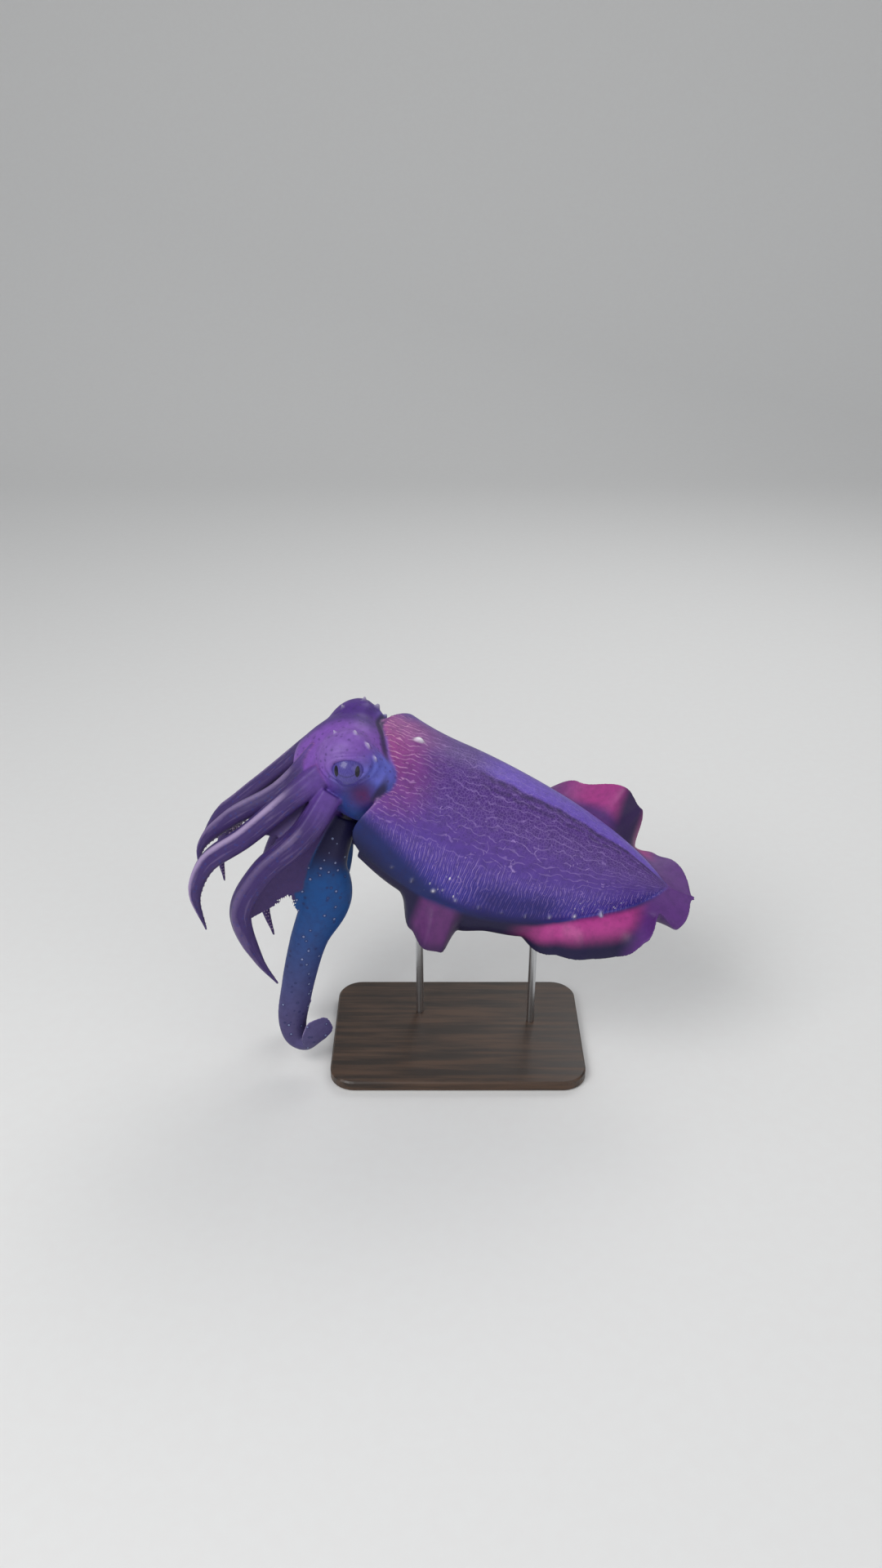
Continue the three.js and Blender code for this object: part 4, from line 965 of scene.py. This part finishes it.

# the head, with painted shade over its far, upper side
head_colour = wire.blend(wire.value("crown") * 0.9, HEAD_TOP, HEAD_FAR_SHADE)
# a painted highlight along the brow, weakened on the shaded far side
head_colour = wire.blend(wire.value("brow") * (1 - wire.value("crown") * 0.8), head_colour, BROW_HIGHLIGHT)
head_colour = wire.blend(wire.value("cheek") * 1.6, head_colour, CHEEK_BLUE)
# a painted highlight on the cheek, below and behind the eye
head_colour = wire.blend(wire.value("cheek_light") * 1.3, head_colour, CHEEK_HIGHLIGHT)
head_colour = wire.blend(wire.value("blush") * cloud.step(0.2, 0.5), head_colour, BLUSH)
head_colour = wire.blend(wire.value("eye_ring") * 0.5, head_colour, EYE_RING)
head_spots = 1 - cells(room_place, 130.0).step(0.12, 0.3)
head_colour = wire.blend(head_spots * 0.5, head_colour, HEAD_SPOT)
# painted shadow of the mantle's margin, a dark strip on the neck along the lip
head_colour = wire.blend((1 - wire.value("from_margin").step(3.0, 9.0)) * 0.9, head_colour, CREASE_SHADE)

# the arms
reach = wire.value("reach")
away = 0 - wire.value("facing")
keel = away.step(0.93, 0.998) * wire.value("ridge")
# painted shade on the side of each arm toward its suckers, on the sucker face and on the webs
inner = wire.value("facing").step(-0.15, 0.35)
arm_colour = wire.blend(away.step(-0.1, 0.75), ARM_SHADE, ARM_OUTER)
streaks = wire.noise(wire.vector(wire.value("facing") * 7.0, reach * 6.0), 1.0, 2.0)
arm_colour = wire.blend(streaks.step(0.50, 0.66) * away.step(0.0, 0.5) * 0.12, arm_colour, ARM_PALE)
# a painted highlight down each arm's keel, from a little way out from the head
arm_colour = wire.blend(keel * (0.45 + 0.55 * mottle) * reach.step(0.10, 0.30), arm_colour, ARM_PALE)
arm_dots = 1 - cells(room_place, 150.0).step(0.15, 0.32)
arm_colour = wire.blend(arm_dots * (1 - keel) * 0.4, arm_colour, ARM_BLUE)
arm_colour = wire.blend(inner, arm_colour, ARM_SHADE)
arm_colour = wire.blend(1 - reach.step(0.02, 0.20), arm_colour, ARM_ROOT)
ventral_colour = wire.blend(reach.step(0.25, 0.8), VENTRAL_TOP, VENTRAL_LOW)
dots = cells(room_place, 95.0)
pale_dots = (1 - dots.step(0.10, 0.16)) * (1 - inner)
dark_rings = (1 - dots.step(0.2, 0.3)) * (1 - inner)
ventral_colour = wire.blend(dark_rings * 0.6, ventral_colour, VENTRAL_SPOT)
# painted shade on the roots of the broad arms, in the colour of the shaded underside
ventral_colour = wire.blend(1 - reach.step(0.11, 0.21), ventral_colour, BELLY_SHADE)
ventral_colour = wire.blend(pale_dots * 0.8, ventral_colour, VENTRAL_DOT)
flap_rim = (1 - away.size().step(0.10, 0.45)) * reach.step(0.87, 0.92)
ventral_colour = wire.blend(flap_rim * 0.8, ventral_colour, FLAP_EDGE)

# the fins
over = wire.value("over").step(-0.3, 0.3)
spread = wire.value("spread")
rear = window(length, (0.55, 0.72), (0.90, 0.98))
front_lobe = window(length, (0.262, 0.30), (0.375, 0.43))
tail = length.step(0.92, 0.99)
# painted shade over the near fin, which hangs under the mantle, fading out toward the tail
fin_colour = wire.blend(near * (1 - length.step(0.90, 0.97)), FIN_PURPLE, FIN_NEAR_SHADE)
fin_colour = wire.blend(front_lobe * near * (1 - spread.step(0.70, 1.0) * 0.6), fin_colour, FIN_FRONT)
near_pink = window(spread, (0.02, 0.25), (0.36, 0.80))
far_pink = spread.step(0.38, 0.62) * 0.85
pinkness = rear * (near_pink * near + far_pink * (1 - near))
fin_colour = wire.blend(pinkness, fin_colour, FIN_PINK)
# painted shade on the far fin where it folds down behind its crest
shade_behind_crest = (1 - near) * window(length, (0.775, 0.83), (0.87, 0.92))
fin_colour = wire.blend(shade_behind_crest, fin_colour, FIN_UNDER_SHADE)
fin_colour = wire.blend(tail, fin_colour, FIN_PURPLE)
# painted shade on the undersides of the fins, half as strong at the tail
fin_colour = wire.blend((1 - over) * (1 - tail * 0.5), fin_colour, FIN_UNDER_SHADE)

colour = wire.blend(wire.value("on_head"), mantle_colour, head_colour)
colour = wire.blend(wire.value("on_arm"), colour, arm_colour)
colour = wire.blend(wire.value("on_ventral"), colour, ventral_colour)
colour = wire.blend(wire.value("on_fin") * spread.step(0.02, 0.2), colour, fin_colour)
# the funnel painted dark all over as the shade under the head
colour = wire.blend(wire.value("on_funnel"), colour, FUNNEL_SHADE)
colour = wire.blend(mottle.step(0.35, 0.75) * 0.22, colour, MOTTLE_DARK)
colour = wire.blend(wire.value("tip"), colour, WHITE_TIP)
feed(colour, shader, "Base Color")
feed(0.40 + 0.16 * mottle, shader, "Roughness")
height = fine * 0.5 + lines * wire.value("on_mantle") * 0.9 - specks * 0.3 + mottle * 0.7
bump = wire.node("Bump", None, {"Height": height, "Strength": 0.6, "Distance": 0.0007})
feed(bump, shader, "Normal")
shader.inputs["Specular IOR Level"].default_value = 0.28
shader.inputs["Coat Weight"].default_value = 0.05
shader.inputs["Coat Roughness"].default_value = 0.22
skin.data.materials.clear()
skin.data.materials.append(paint)
smooth(skin)
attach(skin, "root")
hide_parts(*SKIN_NODES)

# Eyes. Two balls in the sockets, cast in clear resin over a painted iris, each with the dark
# W-shaped pupil of the species: two upright slits joined by a thin curved band.

IRIS = (0.060, 0.046, 0.235)
IRIS_LIGHT = (0.105, 0.080, 0.36)
PUPIL = (0.004, 0.003, 0.014)
SLIT_APART = 12.0
SLIT_HALF = (2.5, 6.2)

for name, side in (("left", -1), ("right", 1)):
    polar = np.linspace(0.01, math.pi - 0.01, 90)
    turn = np.arange(120) * 2 * math.pi / 120
    rings = np.array([[(np.sin(p) * np.cos(q), np.cos(p), np.sin(p) * np.sin(q)) for q in turn]
                      for p in polar])
    rings = rings * EYE_RADIUS + np.array(EYE_AT) * (1, side, 1)
    points, faces = rings_to_mesh(rings)
    if side > 0:
        faces = [face[::-1] for face in faces]
    eye_x, eye_z = from_eye(points)
    eye = new_mesh(f"eyeball_{name}", ((points @ head_turn.T + head_at) + ANIMAL_PLACE) / 1000.0, faces)
    for mark, values in (("eye_x", eye_x), ("eye_z", eye_z)):
        attribute = eye.data.attributes.new(mark, "FLOAT", "POINT")
        attribute.data.foreach_set("value", np.asarray(values, np.float32))
    if name == "left":
        eye_paint, wire, shader = new_material("painted_eye")
        x = wire.value("eye_x")
        z = wire.value("eye_z")
        aside = x.size()
        slit = ((aside - SLIT_APART) * (1 / SLIT_HALF[0])).squared() + (z * (1 / SLIT_HALF[1])).squared()
        band = z + 4.5 - x * x * 0.03
        band = (1 - band.size().step(0.6, 1.2)) * (1 - aside.step(12.0, 13.5))
        pupil = wire.math("MAXIMUM", 1 - slit.step(0.8, 1.15), band * 0.35)
        streak = wire.noise(wire.vector(x * 1.6, z * 0.3), 1.0, 3.0)
        iris = wire.blend(streak.step(0.35, 0.7), IRIS, IRIS_LIGHT)
        feed(wire.blend(pupil, iris, PUPIL), shader, "Base Color")
        shader.inputs["Roughness"].default_value = 0.30
        shader.inputs["Specular IOR Level"].default_value = 0.30
        shader.inputs["Coat Weight"].default_value = 0.25
        shader.inputs["Coat Roughness"].default_value = 0.06
    eye.data.materials.append(eye_paint)
    smooth(eye)
    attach(eye, "root")
    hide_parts(f"eye_{name}")

# Suckers. Small stalked cups with a horny rim, in four rows down the inner face of every arm.
# Cast one by one in a paler resin and set into the arm's skin.

SUCKER_ROWS = (-0.5, -0.17, 0.17, 0.5)
SUCKERS_IN_ROW = 26
SUCKER_SIDES = 12
SUCKER_PROFILE = ((0.75, -0.6), (0.8, 0.15), (1.0, 0.5), (0.95, 0.75), (0.72, 0.78), (0.6, 0.5),
                  (0.3, 0.32))
SUCKER_RESIN = ((0.30, 0.20, 0.36), (0.46, 0.36, 0.46))

sucker_points, sucker_faces, sucker_corners = [], [], 0
turn = np.arange(SUCKER_SIDES) * 2 * math.pi / SUCKER_SIDES
for arm in ARMS.values():
    here = arm["stations"]
    broad = arm["wide"] > 20
    for row, offset in enumerate(SUCKER_ROWS):
        for k in range(SUCKERS_IN_ROW):
            share = (k + (row % 2) * 0.5) / SUCKERS_IN_ROW
            t = 0.13 + 0.85 * share ** 0.92
            i = min(int(t * (ARM_STEPS - 1)), ARM_STEPS - 1)
            wide = here["wide"][i]
            size = max(0.7, wide * (0.11 if broad else 0.17))
            skin_height = here["thick"][i] * 0.55 * math.sin(math.acos(abs(offset))) ** 0.7
            middle = here["line"][i] + here["across"][i] * offset * wide + here["oral"][i] * skin_height
            rings = np.array([middle + here["oral"][i] * (height * size)
                              + size * radius * (np.cos(turn)[:, None] * here["across"][i]
                                                 + np.sin(turn)[:, None] * here["along"][i])
                              for radius, height in SUCKER_PROFILE])
            points, faces = rings_to_mesh(rings)
            sucker_faces += [[corner + sucker_corners for corner in face[::-1]] for face in faces]
            sucker_points.append(points)
            sucker_corners += len(points)
suckers = new_mesh("suckers", (np.concatenate(sucker_points) + ANIMAL_PLACE) / 1000.0, sucker_faces)
sucker_paint, wire, shader = new_material("sucker_resin")
tint = wire.noise(wire.node("TexCoord", output=3), 90.0, 2.0)
feed(wire.blend(tint.step(0.35, 0.65), *SUCKER_RESIN), shader, "Base Color")
feed(0.35 + 0.2 * tint, shader, "Roughness")
suckers.data.materials.append(sucker_paint)
smooth(suckers)
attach(suckers, "root")

# Mouth. The round lip in the middle of the arms, a soft frilled ring about the dark opening.
# Cast apart and set in, hidden but for a glimpse between the arms.

LIP_RESIN = ((0.18, 0.09, 0.18), (0.36, 0.24, 0.33))


def paint_node(name, material):
    """A solid that is carried over as it is, in its own paint."""
    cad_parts[name].data.materials.clear()
    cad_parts[name].data.materials.append(material)


mouth_paint, wire, shader = new_material("mouth_resin")
folds = wire.noise(wire.node("TexCoord", output=3), 300.0, 2.0)
feed(wire.blend(folds.step(0.35, 0.65), *LIP_RESIN), shader, "Base Color")
feed(0.35 + 0.25 * folds, shader, "Roughness")
paint_node("mouth", mouth_paint)

# Stand. A flat base of dark stained wood with eased edges, and two bright steel rods that are
# screwed up into the belly. It stands by its own weight.

WOOD = ((0.020, 0.0105, 0.006), (0.078, 0.040, 0.022))
STEEL = ((0.50, 0.51, 0.52), (0.66, 0.67, 0.68))

wood, wire, shader = new_material("dark_stained_wood")
spot = wire.node("Mapping", None, {"Vector": wire.node("TexCoord", output=3), "Scale": (1.2, 16.0, 16.0)})
grain = wire.noise(spot, 6.0, 6.0, 0.6)
pores = wire.noise(spot, 60.0, 2.0)
feed(wire.blend(grain.step(0.35, 0.68), *WOOD), shader, "Base Color")
feed(0.28 + 0.22 * grain, shader, "Roughness")
bump = wire.node("Bump", None, {"Height": grain + pores * 0.3, "Strength": 0.25, "Distance": 0.0005})
feed(bump, shader, "Normal")
paint_node("stand_base", wood)
steel, wire, shader = new_material("bright_steel")
spot = wire.node("Mapping", None, {"Vector": wire.node("TexCoord", output=3), "Scale": (40.0, 40.0, 700.0)})
brush = wire.noise(spot, 3.0, 3.0)
feed(wire.blend(brush, *STEEL), shader, "Base Color")
feed(0.22 + 0.18 * brush, shader, "Roughness")
shader.inputs["Metallic"].default_value = 1.0
for name in ("stand_rod_front", "stand_rod_rear"):
    paint_node(name, steel)
